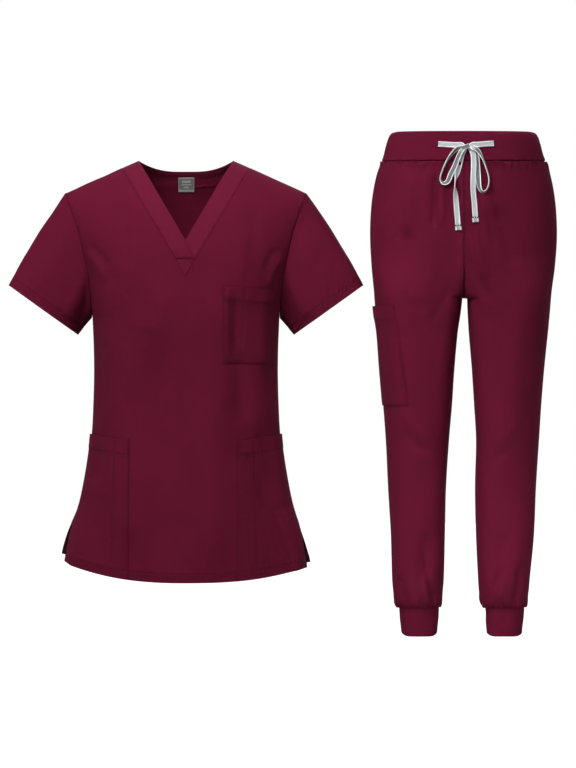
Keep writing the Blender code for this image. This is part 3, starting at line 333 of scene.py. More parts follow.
HIP_FOLDS = folds(
    FRONT,
    (12, 2.2, (-124, -492), (-134, -540), (-148, -600)),
    (14, -2.2, (-148, -488), (-150, -530), (-160, -570)),
    (14, -2.6, (112, -510), (134, -560), (150, -610)), (12, 2.1, (128, -500), (150, -550), (168, -610)))
PEN_DIVIDERS = {RIGHT: ((-123.5, -487), (-128.6, -700)), LEFT: ((119, -487), (124, -700))}
CHEST_DIVIDER = ((103, -224), (100, -280), (94.5, -341))
CHEST_BARS = (((92, -341), (97, -341)), ((69, -220.5), (69, -228)))
# Lighter and darker tones of the cloth and of the neckbands: the twill mixes them at random as its dye, the rib
# knit by its ribs as painted highlight and shade.
CLOTH_LIGHT, CLOTH_DARK = "#64162f", "#5a122a"
BAND_LIGHT, BAND_DARK = "#691a33", "#60152e"
# The colour that the shade painted along seams, stitches, pockets and tucks darkens the cloth towards.
PAINTED_SHADE_COLOUR = "#260310"
# The tape's greys, the darker greys painted as shade on its loops and the knot, and its white edges.
TAPE_FACE, TAPE_PAINTED_SHADE, TAPE_WHITE = ("#b2b5ba", "#ccced1"), ("#62676b", "#7d8286"), "#fbfafb"
LABEL_GREY, LABEL_BORDER, LABEL_BAR = "#817f81", "#b0adad", "#bdbbbb"
WINE_THREAD, GREY_THREAD = ("#5a1028", "#2c0613"), ("#2b2e33", "#15171a")
FLOOR_LIGHT, FLOOR_DARK = "#fafafa", "#f4f4f4"
# How strong the shade painted along hems, stitch lines, beside sewn-on pockets and between tucks is, and how
# far the finish darkens the colour where that painted shade is full.
HEM_SHADE, STITCH_SHADE, UNDER_SHADE, GATHER_SHADE, PAINTED_SHADE_DEPTH = 0.3, 0.2, 0.5, 0.6, 0.85
# How a line of sewing presses cloth in: how deep and how far, how strong its painted shade is and how far it
# reaches, how puckered and how far.
HEM_PRESS, STITCH_PRESS, DIVIDER_PRESS = table(
    "deep reach shade shade_reach pucker pucker_reach",
    (0.55, 1.3, HEM_SHADE, 1.4, 0.8, 7.0), (0.4, 1.5, STITCH_SHADE, 1.3, 0.7, 6.0),
    (0.7, 1.5, STITCH_SHADE, 1.5, 0.0, 1.0))
# Pitch, length and width of the stitches.
SEAM_STITCH, END_STITCH = (3.4, 2.5, 0.55), (3.4, 2.7, 3.2)
SLIT_STITCH, BAR_STITCH = (0.75, 0.6, 1.9), (0.8, 0.6, 1.8)
STITCH_INPUTS, STITCH_LIFT = ("Pitch", "Length", "Width"), 0.12

# ---- Patterns, by how many mm one of their waves or lumps takes ----

# What a wave takes at a scale of 1, in straight bands and in slanted ones.
STRAIGHT_WAVE, SLANTED_WAVE = math.pi / 10 / MM, math.pi / 5 / MM
TWILL_WAVE, THREAD_LUMP, RUCK_LUMP, SAG_LUMP, DYE_LUMP = 0.698, 1.43, 6.67, 29.4, 111.0
RIB_WAVE, LOOP_WAVE, KNIT_SAG_LUMP = 1.6, 1.1, 25.0
BRAID_WAVE, TAPE_BORDER = 1.2, (2.9, 3.4)
LABEL_WAVE, TWIST_LUMP, FLOOR_LUMP = 0.524, 0.4, 333.0
# Left, right, bottom and top, as shares of the label.
LABEL_MIDDLE = (0.06, 0.94, 0.06, 0.94)
LABEL_BARS = ((0.24, 0.76, 0.60, 0.78), (0.2, 0.8, 0.42, 0.49), (0.36, 0.64, 0.2, 0.3))

# ---- View ----

# Name, size, power, spread in degrees, place, and what it is aimed at.
LIGHTS = (
    ("key", 1.0, 9.7, 60, (-1.05, -2.05, 1.95), (-0.05, 0, -0.2)),
    ("fill", 1.0, 0.42, 16, (1.5, -2.0, 1.9), (0.14, -0.1, -0.13)),
    ("side light", 0.6, 0.54, 18, (-0.55, -2.2, 1.6), (0.52, 0, -0.38)),
    ("front light", 1.0, 3.4, 180, (0.1, -3.0, -0.2), (0.1, 0, -0.3)),
    ("low light", 0.3, 0.34, 14, (0.55, -2.9, -0.9), (0.55, 0, -0.72)),
    ("back light", 2.0, 40.0, 180, (1.2, 2.6, 1.6), (0.2, 0, -0.4)))
FLOOR_Z, FLOOR_SIZE, FLOOR_GLOW = -1.0, 60.0, 0.7
SKY_LIGHT = (0.16, 0.55)
FRAME_TALL = 1.344
CAMERA_AT = (0.1785, -20.0, -0.3902)


# ---- Curves and waves ----

def lerp(a, b, t):
    return a + (b - a) * t


def ease(t):
    t = np.clip(t, 0.0, 1.0)
    return t * t * (3 - 2 * t)


def bell(gap, reach):
    """1 where there is no gap, and softly down to 0 over the reach."""
    return np.exp(-((gap / reach) ** 2))


def unit(way):
    return way / np.maximum(np.linalg.norm(way, axis=-1, keepdims=True), 1e-9)


def run_along(points):
    """The way from a line's start to each of its points."""
    return np.concatenate([[0], np.cumsum(np.linalg.norm(np.diff(points, axis=0), axis=1))])


def along(rows, name, at):
    """A table's column, on a smooth curve through its rows."""
    rows = sorted(rows, key=lambda row: row.z)
    place = np.array([row.z for row in rows], dtype=float)
    value = np.array([getattr(row, name) for row in rows], dtype=float)
    at = np.clip(at, place[0], place[-1])
    k = np.clip(np.searchsorted(place, at, side="right") - 1, 0, len(place) - 2)
    order = np.arange(len(place))
    low, high = np.maximum(order - 1, 0), np.minimum(order + 1, len(place) - 1)
    slope = (value[high] - value[low]) / (place[high] - place[low])
    span = place[k + 1] - place[k]
    t = (at - place[k]) / span
    rise = value[k + 1] - value[k]
    start, end = slope[k] * span, slope[k + 1] * span
    return value[k] + start * t + (3 * rise - 2 * start - end) * t ** 2 + (start + end - 2 * rise) * t ** 3


def smooth_line(points, parts=8):
    """Catmull-Rom points through a line's own points."""
    points = np.array(points, dtype=float)
    if len(points) < 3:
        return points
    ends = np.vstack([points[:1], points, points[-1:]])
    result = []
    for k in range(1, len(ends) - 2):
        before, here, there, after = ends[k - 1:k + 3]
        square = 2 * before - 5 * here + 4 * there - after
        cube = 3 * here - before - 3 * there + after
        for t in np.arange(parts) / parts:
            result.append(0.5 * (2 * here + (there - before) * t + square * t ** 2 + cube * t ** 3))
    return np.vstack([result, points[-1:]])


def nearest_on(line, x, z):
    """How far each (x, z) is from a line, and how far along the line that is, from 0 to 1."""
    run = run_along(line)
    best, way = np.full(x.shape, 1e9), np.zeros(x.shape)
    for a, b, start, end in zip(line, line[1:], run, run[1:]):
        t = np.clip(((x - a[0]) * (b[0] - a[0]) + (z - a[1]) * (b[1] - a[1])) / (end - start) ** 2, 0, 1)
        gap = np.hypot(x - lerp(a[0], b[0], t), z - lerp(a[1], b[1], t))
        nearer = gap < best
        best, way = np.where(nearer, gap, best), np.where(nearer, lerp(start, end, t) / run[-1], way)
    return best, way


def fold_height(rows, face, x, z):
    """The height of all folds at (x, z): rounded ridges and troughs that fade at both ends."""
    total = np.zeros(x.shape)
    for fold in rows:
        if fold.face == face:
            gap, way = nearest_on(smooth_line(fold.line), x, z)
            ends = ease(way / FOLD_STARTS) * ease((1 - way) / FOLD_ENDS)
            total += fold.height * ends * bell(gap, fold.reach)
    return total


def rumple(points, seed, size, height):
    """Slow unevenness of cloth that nothing pulls flat, from a few crossing waves."""
    chance = np.random.default_rng(seed)
    total = np.zeros(points.shape[:-1])
    for _ in range(RUMPLE_WAVES):
        way = chance.normal(size=3)
        way *= 2 * math.pi / (size * chance.uniform(*RUMPLE_SIZES)) / np.linalg.norm(way)
        total += np.sin(points @ way + chance.uniform(0, 2 * math.pi))
    return total * (height / math.sqrt(RUMPLE_WAVES))


# ---- The top's form ----

def ridge_z(x):
    return SHOULDER_SLOPE * (math.hypot(NECK_HALF, RIDGE_SOFT) - np.hypot(x, RIDGE_SOFT))


def rounding(drop):
    return np.sqrt(np.maximum(0.0, 1 - np.maximum(0.0, 1 - drop / SHOULDER_ROUND) ** 2))


def edge_x(z):
    return np.where(z > ARMPIT_Z, along(ARMHOLE, "x", z), along(SIDE, "x", z))


def side_name(face):
    return "front" if face == FRONT else "back"


def depth(face, z):
    return along(DEPTH, side_name(face), z)


def section_half(face, z):
    """Half the section's width. Above the armpit it goes on past the armhole, which cuts it."""
    level = np.minimum(z, SHOULDER_Z - 0.5)
    x = edge_x(level)
    middle, half = (SHOULDER_Z + ARMPIT_Z) / 2, (SHOULDER_Z - ARMPIT_Z) / 2
    arm = ARMHOLE_HALF_DEPTH[face] * np.sqrt(np.maximum(0.0, 1 - ((level - middle) / half) ** 2))
    drop = np.maximum(ridge_z(x) - level, 0.01)
    share = np.minimum(arm / (depth(face, level) * rounding(drop)), 0.99)
    return np.where(z <= ARMPIT_Z, edge_x(z), x / (1 - share ** SECTION_POWER) ** (1 / SECTION_POWER))


def section(x, half, power=SECTION_POWER):
    return np.maximum(0.0, 1 - np.minimum(np.abs(x) / half, 1) ** power) ** (1 / power)


def torso_form(face, x, drop):
    z = ridge_z(x) - drop
    y = face * depth(face, z) * section(x, section_half(face, z)) * rounding(drop)
    return np.stack([x + 0 * y, y, z + 0 * y], axis=-1)


def torso_point(face, x, z):
    return torso_form(face, x, np.maximum(0.0, ridge_z(x) - z))


def column_share(side, j, z_out):
    """A column's share of a row's half width. Guides keep two columns on the pockets' inner edges."""
    x_out, half = edge_x(z_out), section_half(FRONT, z_out)
    hip = along(HIP_POCKET_X, NAMES[side], z_out)

    def angle(x):
        return np.arcsin(np.minimum(1.0, (x / half) ** (SECTION_POWER / 2)))

    chest = CHEST_POCKET_X * j / CHEST_POCKET_COLUMN
    between = lerp(CHEST_POCKET_X, hip, (j - CHEST_POCKET_COLUMN) / (HIP_POCKET_COLUMN - CHEST_POCKET_COLUMN))
    past_hip = np.maximum(0.0, j - HIP_POCKET_COLUMN) / (COLUMNS - HIP_POCKET_COLUMN)
    outer = half * np.sin(lerp(angle(hip), angle(x_out), past_hip)) ** (2 / SECTION_POWER)
    x = np.where(j < CHEST_POCKET_COLUMN, chest, np.where(j < HIP_POCKET_COLUMN, between, outer))
    return np.minimum(x / x_out, 1.0)


def opened_vent(face, side, points, share, z_out):
    open_by = ease((VENT_TOP - z_out) / VENT_HEIGHT) * ease((share - VENT_SHARE) / (1 - VENT_SHARE))
    push = np.array([-side * VENT_FRONT_IN * (face == FRONT), face * VENT_SPREAD, 0.0])
    return points + push * open_by[..., None]


def body_form(face, side, j, z_in, rows):
    z_out = along(rows, "z_out", z_in)
    share = column_share(side, j, z_out)
    curve = share ** HEM_POWER
    z = lerp(z_in, z_out, curve) - side * HEM_TILT[face] * curve * ease((HEM_TILT_TOP - z_out) / HEM_TILT_REACH)
    x = share * edge_x(z_out)
    points = torso_form(face, side * x, np.maximum(ridge_z(x) - z, 0))
    return opened_vent(face, side, points, share, z_out)


def neck_seam(share):
    x = SEAM_AT_SHOULDER * (1 - share)
    return x, lerp(ridge_z(SEAM_AT_SHOULDER), V_TIP_Z, share)


def front_v(z):
    """Where a depth is on the front: 1 at the V's tip, and 1 more for each unit of depth below it."""
    return (V_TIP_Z - z) / DEPTH_UNIT + 1


def front_form(side, j, v):
    """v is a share of the neck seam up to 1, and past that the depth below the V's tip."""
    share = np.minimum(v, 1.0)
    x_in, z_in = neck_seam(share)
    z_out = along(NECK_ROWS, "z_out", share)
    x_out = edge_x(z_out)
    across = lerp(j / COLUMNS, column_share(side, j, np.full(np.shape(j), V_TIP_Z)), share)
    drop = lerp(ridge_z(x_in) - z_in, ridge_z(x_out) - z_out, across)
    upper = torso_form(FRONT, side * lerp(x_in, x_out, across), np.maximum(0.0, drop))
    lower = body_form(FRONT, side, j, V_TIP_Z - np.maximum(v - 1, 0) * DEPTH_UNIT, FRONT_ROWS)
    return np.where((v <= 1)[..., None], upper, lower)


def back_curve_drop(x, half, reach):
    """The drop below the ridge at which the back is on an oval, seen from above, at x."""
    y = reach * np.sqrt(np.maximum(0.0, 1 - (x / half) ** 2))
    low, high = np.zeros(np.shape(x)), np.full(np.shape(x), SHOULDER_ROUND)
    for _ in range(HALVINGS):
        drop = (low + high) / 2
        z = ridge_z(x) - drop
        here = depth(BACK, z) * section(x, section_half(BACK, z)) * rounding(drop)
        low, high = np.where(here < y, drop, low), np.where(here < y, high, drop)
    return np.where(x >= half, 0.0, drop)


def back_column_x(j):
    neck = np.linspace(LABEL_COLUMN, SEAM_AT_SHOULDER, HIP_POCKET_COLUMN)
    shoulder = np.linspace(SEAM_AT_SHOULDER, SHOULDER_X, COLUMNS - HIP_POCKET_COLUMN + 1)[1:]
    return np.interp(j, range(COLUMNS + 1), [0.0, *neck, *shoulder])


def back_form(side, j, v):
    """v is a share of the armhole's height up to 1, and past that the depth below the armpit."""
    pit = LOWER_ROWS[0]
    z_out = lerp(SHOULDER_Z, pit.z_out, np.minimum(v, 1.0))
    x_out = edge_x(z_out)
    top_x = back_column_x(j)
    top_drop = back_curve_drop(top_x, SEAM_AT_SHOULDER, BACK_SEAM_DEPTH)
    pit_x = edge_x(np.array(ARMPIT_Z))
    pit_share = column_share(side, j, np.full(np.shape(j), ARMPIT_Z))
    pit_drop = ridge_z(pit_share * pit_x) - lerp(pit.z, pit.z_out, pit_share ** HEM_POWER)
    way = np.maximum(0.0, ridge_z(x_out) - z_out) / (ridge_z(pit_x) - pit.z_out)
    share = lerp(top_x / SHOULDER_X, pit_share, way)
    upper = torso_form(BACK, side * share * x_out, np.maximum(0.0, lerp(top_drop, pit_drop, way)))
    lower = body_form(BACK, side, j, pit.z - np.maximum(v - 1, 0) * DEPTH_UNIT, LOWER_ROWS + BACK_HEM_ROWS)
    return np.where((v <= 1)[..., None], upper, lower)


def band_form(side, t, share):
    """A front neckband: t is 0 on the neckline and 1 on the seam. Past the V's point it crosses to the left."""
    seam_x, seam_z = neck_seam(share)
    part = np.minimum(share / V_POINT_SHARE, 1.0)
    line_x, line_z = NECK_HALF * (1 - part), lerp(ridge_z(NECK_HALF), V_POINT_Z, part)
    past = np.maximum(0.0, share - V_POINT_SHARE) / (CROSSING_SHARE - V_POINT_SHARE)
    end_x, end_z = neck_seam(CROSSING_SHARE)
    line_x = np.where(past > 0, lerp(0.0, end_x, past), side * line_x)
    line_z = np.where(past > 0, lerp(V_POINT_Z, end_z, past), line_z)
    drop = lerp(ridge_z(line_x) - line_z, ridge_z(seam_x) - seam_z, t)
    return torso_form(FRONT, lerp(line_x, side * seam_x, t), np.maximum(0.0, drop))


def back_band_form(x_at, t):
    """x_at runs from shoulder to shoulder on the seam, t from the neckline to the seam."""
    x, narrower = np.abs(x_at), NECK_HALF / SEAM_AT_SHOULDER
    line_x = x * lerp(1.0, narrower, ease(x / LABEL_COLUMN))
    seam_drop = back_curve_drop(x, SEAM_AT_SHOULDER, BACK_SEAM_DEPTH)
    line_drop = back_curve_drop(line_x, NECK_HALF, BACK_NECK_DEPTH)
    return torso_form(BACK, np.sign(x_at) * lerp(line_x, x, t), lerp(line_drop, seam_drop, t))


# ---- The trousers' form ----

def hip_share(face, across, z):
    """0 in the legs, rising to 1 in the hips, first by the crotch seam and then by the outer seam."""
    climb = np.clip((z - CROTCH_Z) / CROTCH_RISE[face], 0.0, 1.0)
    return np.sqrt(1 - (1 - climb) ** 2) ** lerp(*CROTCH_BEND, ease(across / CROTCH_BEND_SHARE))


def trouser_form(face, side, share, z):
    """From the centre seam or inner leg (share 0) to the outer seam (1). Legs are fuller towards each other."""
    out, inner = along(LEGS, f"{NAMES[side]}_out", z), along(LEGS, f"{NAMES[side]}_in", z)
    spread = ease((z - CROTCH_Z) / (SPREAD_Z - CROTCH_Z))
    across = lerp((1 - np.cos(share * math.pi)) / 2, np.sin(share * math.pi / 2) ** (2 / HIP_POWER), spread)
    power = np.where(across < 0.5, along(LEG_POWERS, "inner", z), along(LEG_POWERS, "outer", z))
    leg = along(LEGS, f"leg_{side_name(face)}", z) * section(2 * across - 1, 1, power)
    hip = along(LEGS, side_name(face), z) * section(across, 1, HIP_POWER)
    closed = np.where(z > CROTCH_Z, inner * (1 - across) ** CENTRE_POWER, 0.0)
    x = TROUSER_X + side * (lerp(inner, out, across) - closed)
    y = along(LEGS, "lean", z) + face * lerp(leg, hip, hip_share(face, across, z))
    return np.stack([x, y, z + 0 * x], axis=-1)


def cargo_share(side, j, z):
    """A column's place across a leg. A guide keeps one column of the right leg on the cargo pocket's edges."""
    if side == LEFT:
        return j / COLUMNS + 0 * z
    guide = along(CARGO_EDGE, "share", z)
    return np.where(j <= CARGO_COLUMN, guide * j / CARGO_COLUMN,
                    lerp(guide, 1, (j - CARGO_COLUMN) / (COLUMNS - CARGO_COLUMN)))


def away_from_leg(side):
    """Which way is outwards, from a line down the middle of the leg and up into the hips."""
    def toward(points):
        z = points[..., 2]
        legs = z < CROTCH_Z
        out, inner = along(LEGS, f"{NAMES[side]}_out", z), along(LEGS, f"{NAMES[side]}_in", z)
        middle = np.where(legs, (out + inner) / 2, HIP_MIDDLE * ease((z - CROTCH_Z) / HIP_MIDDLE_RISE))
        return np.stack([points[..., 0] - TROUSER_X - side * middle, points[..., 1] - along(LEGS, "lean", z),
                         0 * z], -1)
    return toward


# ---- Panels: grids of points on a form, with an outward direction, a height and what the finish reads ----

class Panel:
    """Rows run down (v) and columns across (u). Height is added to the form along the outward direction."""

    def __init__(self, form, u, v, toward):
        self.u, self.v = np.array(u, dtype=float), np.array(v, dtype=float)
        grid_u, grid_v = np.meshgrid(self.u, self.v)
        self.base = form(grid_u, grid_v)
        self.out = self.outward(form, grid_u, grid_v, toward)
        self.height, self.pucker, self.crease = (np.zeros(self.base.shape[:2]) for _ in range(3))
        self.lift = 0.0

    def outward(self, form, u, v, toward):
        du, dv = (self.u[-1] - self.u[0]) * 2e-3, (self.v[-1] - self.v[0]) * 1e-3
        low_u, high_u = np.maximum(u - du, self.u[0]), np.minimum(u + du, self.u[-1])
        low_v, high_v = (np.clip(v + way, *sorted(self.v[[0, -1]])) for way in (-dv, dv))
        across = form(high_u, v) - form(low_u, v)
        down = form(u, high_v) - form(u, low_v)
        out = unit(np.cross(across, down))
        return out * np.sign(np.sum(out * toward(self.base)))

    def points(self):
        return self.base + self.out * (self.height + self.lift)[..., None]

    def runs(self):
        """Lengths along the rows and down the columns."""
        across = np.linalg.norm(np.diff(self.base, axis=1), axis=-1)
        down = np.linalg.norm(np.diff(self.base, axis=0), axis=-1)
        across = np.hstack([np.zeros((across.shape[0], 1)), np.cumsum(across, axis=1)])
        down = np.vstack([np.zeros((1, down.shape[1])), np.cumsum(down, axis=0)])
        return across, down

    def shares(self):
        """How far across and how far down each column and row is, from 0 to 1."""
        return [(places - places[0]) / (places[-1] - places[0]) for places in (self.u, self.v)]

    def gap(self, edge):
        across, down = self.runs()
        return {"start": across, "end": across[:, -1:] - across, "top": down, "bottom": down[-1:] - down}[edge]

    # Painted shade: a share from 0 to 1 by which the finish darkens the cloth's colour, kept at its strongest.
    def paint_shade(self, shade):
        self.crease = np.maximum(self.crease, shade)

    def sewn_line(self, gap, press, shade_at=0.0):
        """Cloth pressed down and puckered by a line of stitches, with shade painted along it, at a gap from it.
        """
        self.height -= press.deep * bell(gap, press.reach)
        self.pucker = np.maximum(self.pucker, press.pucker * bell(gap, press.pucker_reach))
        self.paint_shade(press.shade * bell(gap - shade_at, press.shade_reach))

    def seam(self, edge, deep=0.8, reach=2.2, at=0.0, shade=1.0):
        """The cloth dips into a seam, or beside it, is slightly puckered along it, and has shade painted along
        it.
        """
        gap = self.gap(edge)
        self.height -= deep * bell(gap - at, reach)
        self.pucker = np.maximum(self.pucker, bell(gap, SEAM_PUCKER))
        self.paint_shade(shade * bell(gap, SEAM_LINE))

    def turned(self, edge, width, thick=TURN_THICK):
        """A turned hem: a doubled edge as wide as its turn, with its line of stitches pressed in and shade
        painted along it.
        """
        gap = self.gap(edge) - width
        self.height += thick * ease(0.5 - gap / TURN_STEP)
        self.sewn_line(gap + TURN_STITCH, HEM_PRESS, TURN_SHADE_AT)

    def topstitched(self, edge, gap_at):
        self.sewn_line(self.gap(edge) - gap_at, STITCH_PRESS)

    def pressed(self, line):
        """Cloth pressed down by stitches along a line of (x, z), with shade painted along it."""
        points = self.points()
        self.sewn_line(nearest_on(smooth_line(line), points[..., 0], points[..., 2])[0], DIVIDER_PRESS)

    def paint_shade_under(self, u, v, per_u, per_v):
        """Painted shade where another piece is sewn on, over columns u and rows v, and just beside it, where
        that piece's edge would shade the cloth.
        """
        aside = np.maximum(0, np.maximum(u[0] - self.u, self.u - u[1]))[None, :] * per_u
        above = np.maximum(0, np.maximum(v[0] - self.v, self.v - v[1]))[:, None] * per_v
        self.paint_shade(UNDER_SHADE * bell(np.hypot(aside, above), UNDER_LINE))

    def trace(self, line):
        """Points and outward directions on the panel under a line of (x, z)."""
        points, out = self.points().reshape(-1, 3), self.out.reshape(-1, 3)
        place, facing = [], []
        for x, z in smooth_line(line, 24) if len(line) > 2 else np.linspace(*line, 41):
            k = np.argmin((points[:, 0] - x) ** 2 + (points[:, 2] - z) ** 2)
            n = out[k]
            y = points[k, 1] - (n[0] * (x - points[k, 0]) + n[2] * (z - points[k, 2])) / n[1]
            place.append((x, y, z))
            facing.append(n)
        return np.array(place), np.array(facing)

    def line(self, edge, gap, ends=(0.0, 1.0)):
        """Points and outward directions along the panel, at a distance from an edge."""
        spread, points, out = self.gap(edge), self.points(), self.out
        if edge in ("top", "bottom"):
            spread, points, out = spread.T, points.transpose(1, 0, 2), out.transpose(1, 0, 2)
        place, facing = [], []
        for row, line, normal in zip(spread, points, out):
            if row.max() < gap:
                continue
            order = np.argsort(row)
            for values, found in ((line, place), (normal, facing)):
                found.append([np.interp(gap, row[order], values[order, k]) for k in range(3)])
        first, last = (round(end * (len(place) - 1)) for end in ends)
        return np.array(place[first:last + 1]), np.array(facing[first:last + 1])


def steps(start, end, step, near=(), per_mm=1.0):
    """Places from start to end, about a step apart, with extra ones at distances in mm from both ends."""
    count = max(1, round(abs(end - start) / step))
    places = list(np.linspace(start, end, count + 1))
    way = 1 if end > start else -1
    for gap in near:
        places += [start + way * gap * per_mm, end - way * gap * per_mm]
    places = sorted(set(round(p, 5) for p in places), reverse=way < 0)
    kept = [places[0]]
    for place in places[1:-1]:
        if abs(place - kept[-1]) > CLOSEST_STEP * step:
            kept.append(place)
    return kept + [places[-1]]


def beside(places, *edges):
    """Places with a few more just outside each edge, given with the mm in one place and the way out."""
    extra = [edge + gap / mm for edge, mm in edges for gap in BESIDE_GAPS]
    return sorted(set(places) | set(round(place, 5) for place in extra))


# ---- Meshes ----

def shell(name, panels, wall, material):
    """A thin closed wall on panels, its rim rounded, with cloth lengths in metres as its UV map."""
    points, out, uv, pucker, crease, faces, first = [], [], [], [], [], [], 0
    for panel in panels:
        rows, columns = panel.base.shape[:2]
        across, down = panel.runs()
        points.append(panel.points().reshape(-1, 3))
        out.append(panel.out.reshape(-1, 3))
        uv.append(np.stack([across - across[:, :1] + panel.u[0], down], axis=-1).reshape(-1, 2) * MM)
        pucker.append(panel.pucker.reshape(-1))
        crease.append(panel.crease.reshape(-1))
        index = np.arange(rows * columns).reshape(rows, columns) + first
        corners = [index[:-1, :-1], index[:-1, 1:], index[1:, 1:], index[1:, :-1]]
        faces.append(np.stack(corners, -1).reshape(-1, 4))
        first += rows * columns
    points, out, uv, pucker, crease, faces = (
        np.concatenate(parts) for parts in (points, out, uv, pucker, crease, faces))
    _, keep, back = np.unique(np.round(points, 2), axis=0, return_index=True, return_inverse=True)
    points, out, pucker, crease, corner_uv = points[keep], out[keep], pucker[keep], crease[keep], uv[faces]
    faces = back.reshape(-1)[faces]
    facing = np.cross(points[faces[:, 2]] - points[faces[:, 0]], points[faces[:, 3]] - points[faces[:, 1]])
    wrong = np.sum(facing * out[faces].sum(axis=1), axis=1) < 0
    faces[wrong], corner_uv[wrong] = faces[wrong][:, ::-1], corner_uv[wrong][:, ::-1]

    polygons, corners = [], []
    for face, corner in zip(faces.tolist(), corner_uv.tolist()):
        kept = [k for k in range(4) if face[k] != face[k - 1]]
        if len(kept) >= 3:
            polygons.append([face[k] for k in kept])
            corners.append([corner[k] for k in kept])
    edge_uv = {(face[k - 1], face[k]): (corner[k - 1], corner[k])
               for face, corner in zip(polygons, corners) for k in range(len(face))}
    rim_edges = [edge for edge in edge_uv if edge[::-1] not in edge_uv]
    asides = {}
    for a, b in rim_edges:
        aside = unit(np.cross(points[b] - points[a], out[a] + out[b]))
        for i in (a, b):
            asides.setdefault(i, []).append(aside)
    count, rim = len(points), sorted(asides)
    rim_index = {i: 2 * count + k for k, i in enumerate(rim)}
    inner = points - out * wall
    rims = [(points[i] + inner[i]) / 2 + unit(np.sum(asides[i], axis=0)) * (wall * RIM_ROUND) for i in rim]
    all_points = np.concatenate([points, inner, np.array(rims).reshape(-1, 3)]) * MM
    all_faces = polygons + [[i + count for i in face[::-1]] for face in polygons]
    all_uv = corners + [corner[::-1] for corner in corners]
    for a, b in rim_edges:
        at_a, at_b = edge_uv[(a, b)]
        all_faces += [[b, a, rim_index[a], rim_index[b]],
                      [rim_index[b], rim_index[a], a + count, b + count]]
        all_uv += [[at_b, at_a, at_a, at_b]] * 2
    # Both faces carry the painted shade, and the rim a share of it.
    return make_mesh(name, all_points, all_faces, all_uv, material,
                     pucker=np.concatenate([pucker, pucker, pucker[rim]]),
                     crease=np.concatenate([crease, crease, crease[rim] * RIM_SHADE]))


def make_mesh(name, points, faces, uv, material, **attributes):
    mesh = bpy.data.meshes.new(name)
    mesh.from_pydata(np.asarray(points).tolist(), [], faces)
    layer = mesh.uv_layers.new(name="cloth")
    layer.data.foreach_set("uv", np.array([c for face in uv for c in face], dtype=np.float32).reshape(-1))
    for key, values in attributes.items():
        attribute = mesh.attributes.new(key, "FLOAT", "POINT")
        attribute.data.foreach_set("value", np.asarray(values, dtype=np.float32))
    mesh.materials.append(material)
    mesh.shade_smooth()
    mesh.validate()
    return in_scene(name, mesh)


def in_scene(name, data):
    item = bpy.data.objects.new(name, data)
    bpy.context.scene.collection.objects.link(item)
    return item


# ---- Finishes ----

def srgb(code):
    parts = [int(code[i:i + 2], 16) / 255 for i in (1, 3, 5)]
    return tuple(p / 12.92 if p <= 0.04045 else ((p + 0.055) / 1.055) ** 2.4 for p in parts) + (1.0,)


def feed(node, inputs):
    """Each input is given its value, its hex colour, or the output that it is linked from."""
    for key, value in inputs.items():
        if isinstance(value, bpy.types.NodeSocket):
            node.id_data.links.new(value, node.inputs[key])
        else:
            is_colour = isinstance(value, str) and value.startswith("#")
            node.inputs[key].default_value = srgb(value) if is_colour else value


def add(tree, kind, out=None, inputs=None, **settings):
    """A node with its settings and what its inputs are fed. Gives the named output, or else the node."""
    node = tree.nodes.new(kind)
    for key, value in settings.items():
        setattr(node, key, value)
    feed(node, inputs or {})
    return node if out is None else node.outputs[out]


def new_finish(name, roughness, specular):
    material = bpy.data.materials.new(name)
    material.use_nodes = True
    feed(material.node_tree.nodes["Principled BSDF"], {"Roughness": roughness, "Specular IOR Level": specular})
    return material, material.node_tree


def finished(material, colour, *layers):
    """The material with its colour and its relief, in layers of a height and how many mm deep it is."""
    normal = {}
    for height, deep in layers:
        inputs = {"Height": height, "Distance": deep * MM, **normal}
        normal = {"Normal": add(material.node_tree, "ShaderNodeBump", "Normal", inputs)}
    feed(material.node_tree.nodes["Principled BSDF"], {"Base Color": colour, **normal})
    return material


def with_painted_shade(tree, colour):
    """The colour with painted shade: darker down in seams, along rows of stitches, beside sewn-on pockets and
    between tucks.
    """
    crease = add(tree, "ShaderNodeAttribute", "Fac", attribute_name="crease")
    dark = add(tree, "ShaderNodeMath", 0, {0: crease, 1: PAINTED_SHADE_DEPTH}, operation="MULTIPLY")
    return add(tree, "ShaderNodeMix", "Result", {"Factor": dark, "A": colour, "B": PAINTED_SHADE_COLOUR},
               data_type="RGBA")


def twill_finish(name, light, dark):
    """Woven twill of polyester and cotton: dull, a little uneven in its dye, puckered along its seams and with
    shade painted there.
    Its twill and threads keep their real size, so they only show from close up, as on the real cloth."""
    material, tree = new_finish(name, 0.9, 0.03)
    place = add(tree, "ShaderNodeTexCoord", "Object")
    cloth = add(tree, "ShaderNodeUVMap", "UV", uv_map="cloth")
    twill = add(tree, "ShaderNodeTexWave", "Fac", {
        "Vector": cloth, "Scale": SLANTED_WAVE / TWILL_WAVE, "Distortion": 0.6, "Detail": 1.0,
        "Detail Scale": 2.0}, wave_type="BANDS", bands_direction="DIAGONAL")
    dye, sag, ruck, threads = (
        add(tree, "ShaderNodeTexNoise", "Fac", {"Vector": vector, "Scale": 1 / (size * MM), "Detail": detail})
        for vector, size, detail in (
            (place, DYE_LUMP, 3.0), (place, SAG_LUMP, 2.0), (cloth, RUCK_LUMP, 1.0), (cloth, THREAD_LUMP, 2.0)))
    colour = add(tree, "ShaderNodeMix", "Result", {"Factor": dye, "A": light, "B": dark}, data_type="RGBA")
    pucker = add(tree, "ShaderNodeAttribute", "Fac", attribute_name="pucker")
    ruck = add(tree, "ShaderNodeMath", 0, {0: ruck, 1: pucker}, operation="MULTIPLY")
    return finished(material, with_painted_shade(tree, colour), (sag, 1.6), (ruck, 2.2), (threads, 0.06), (twill, 0.08))


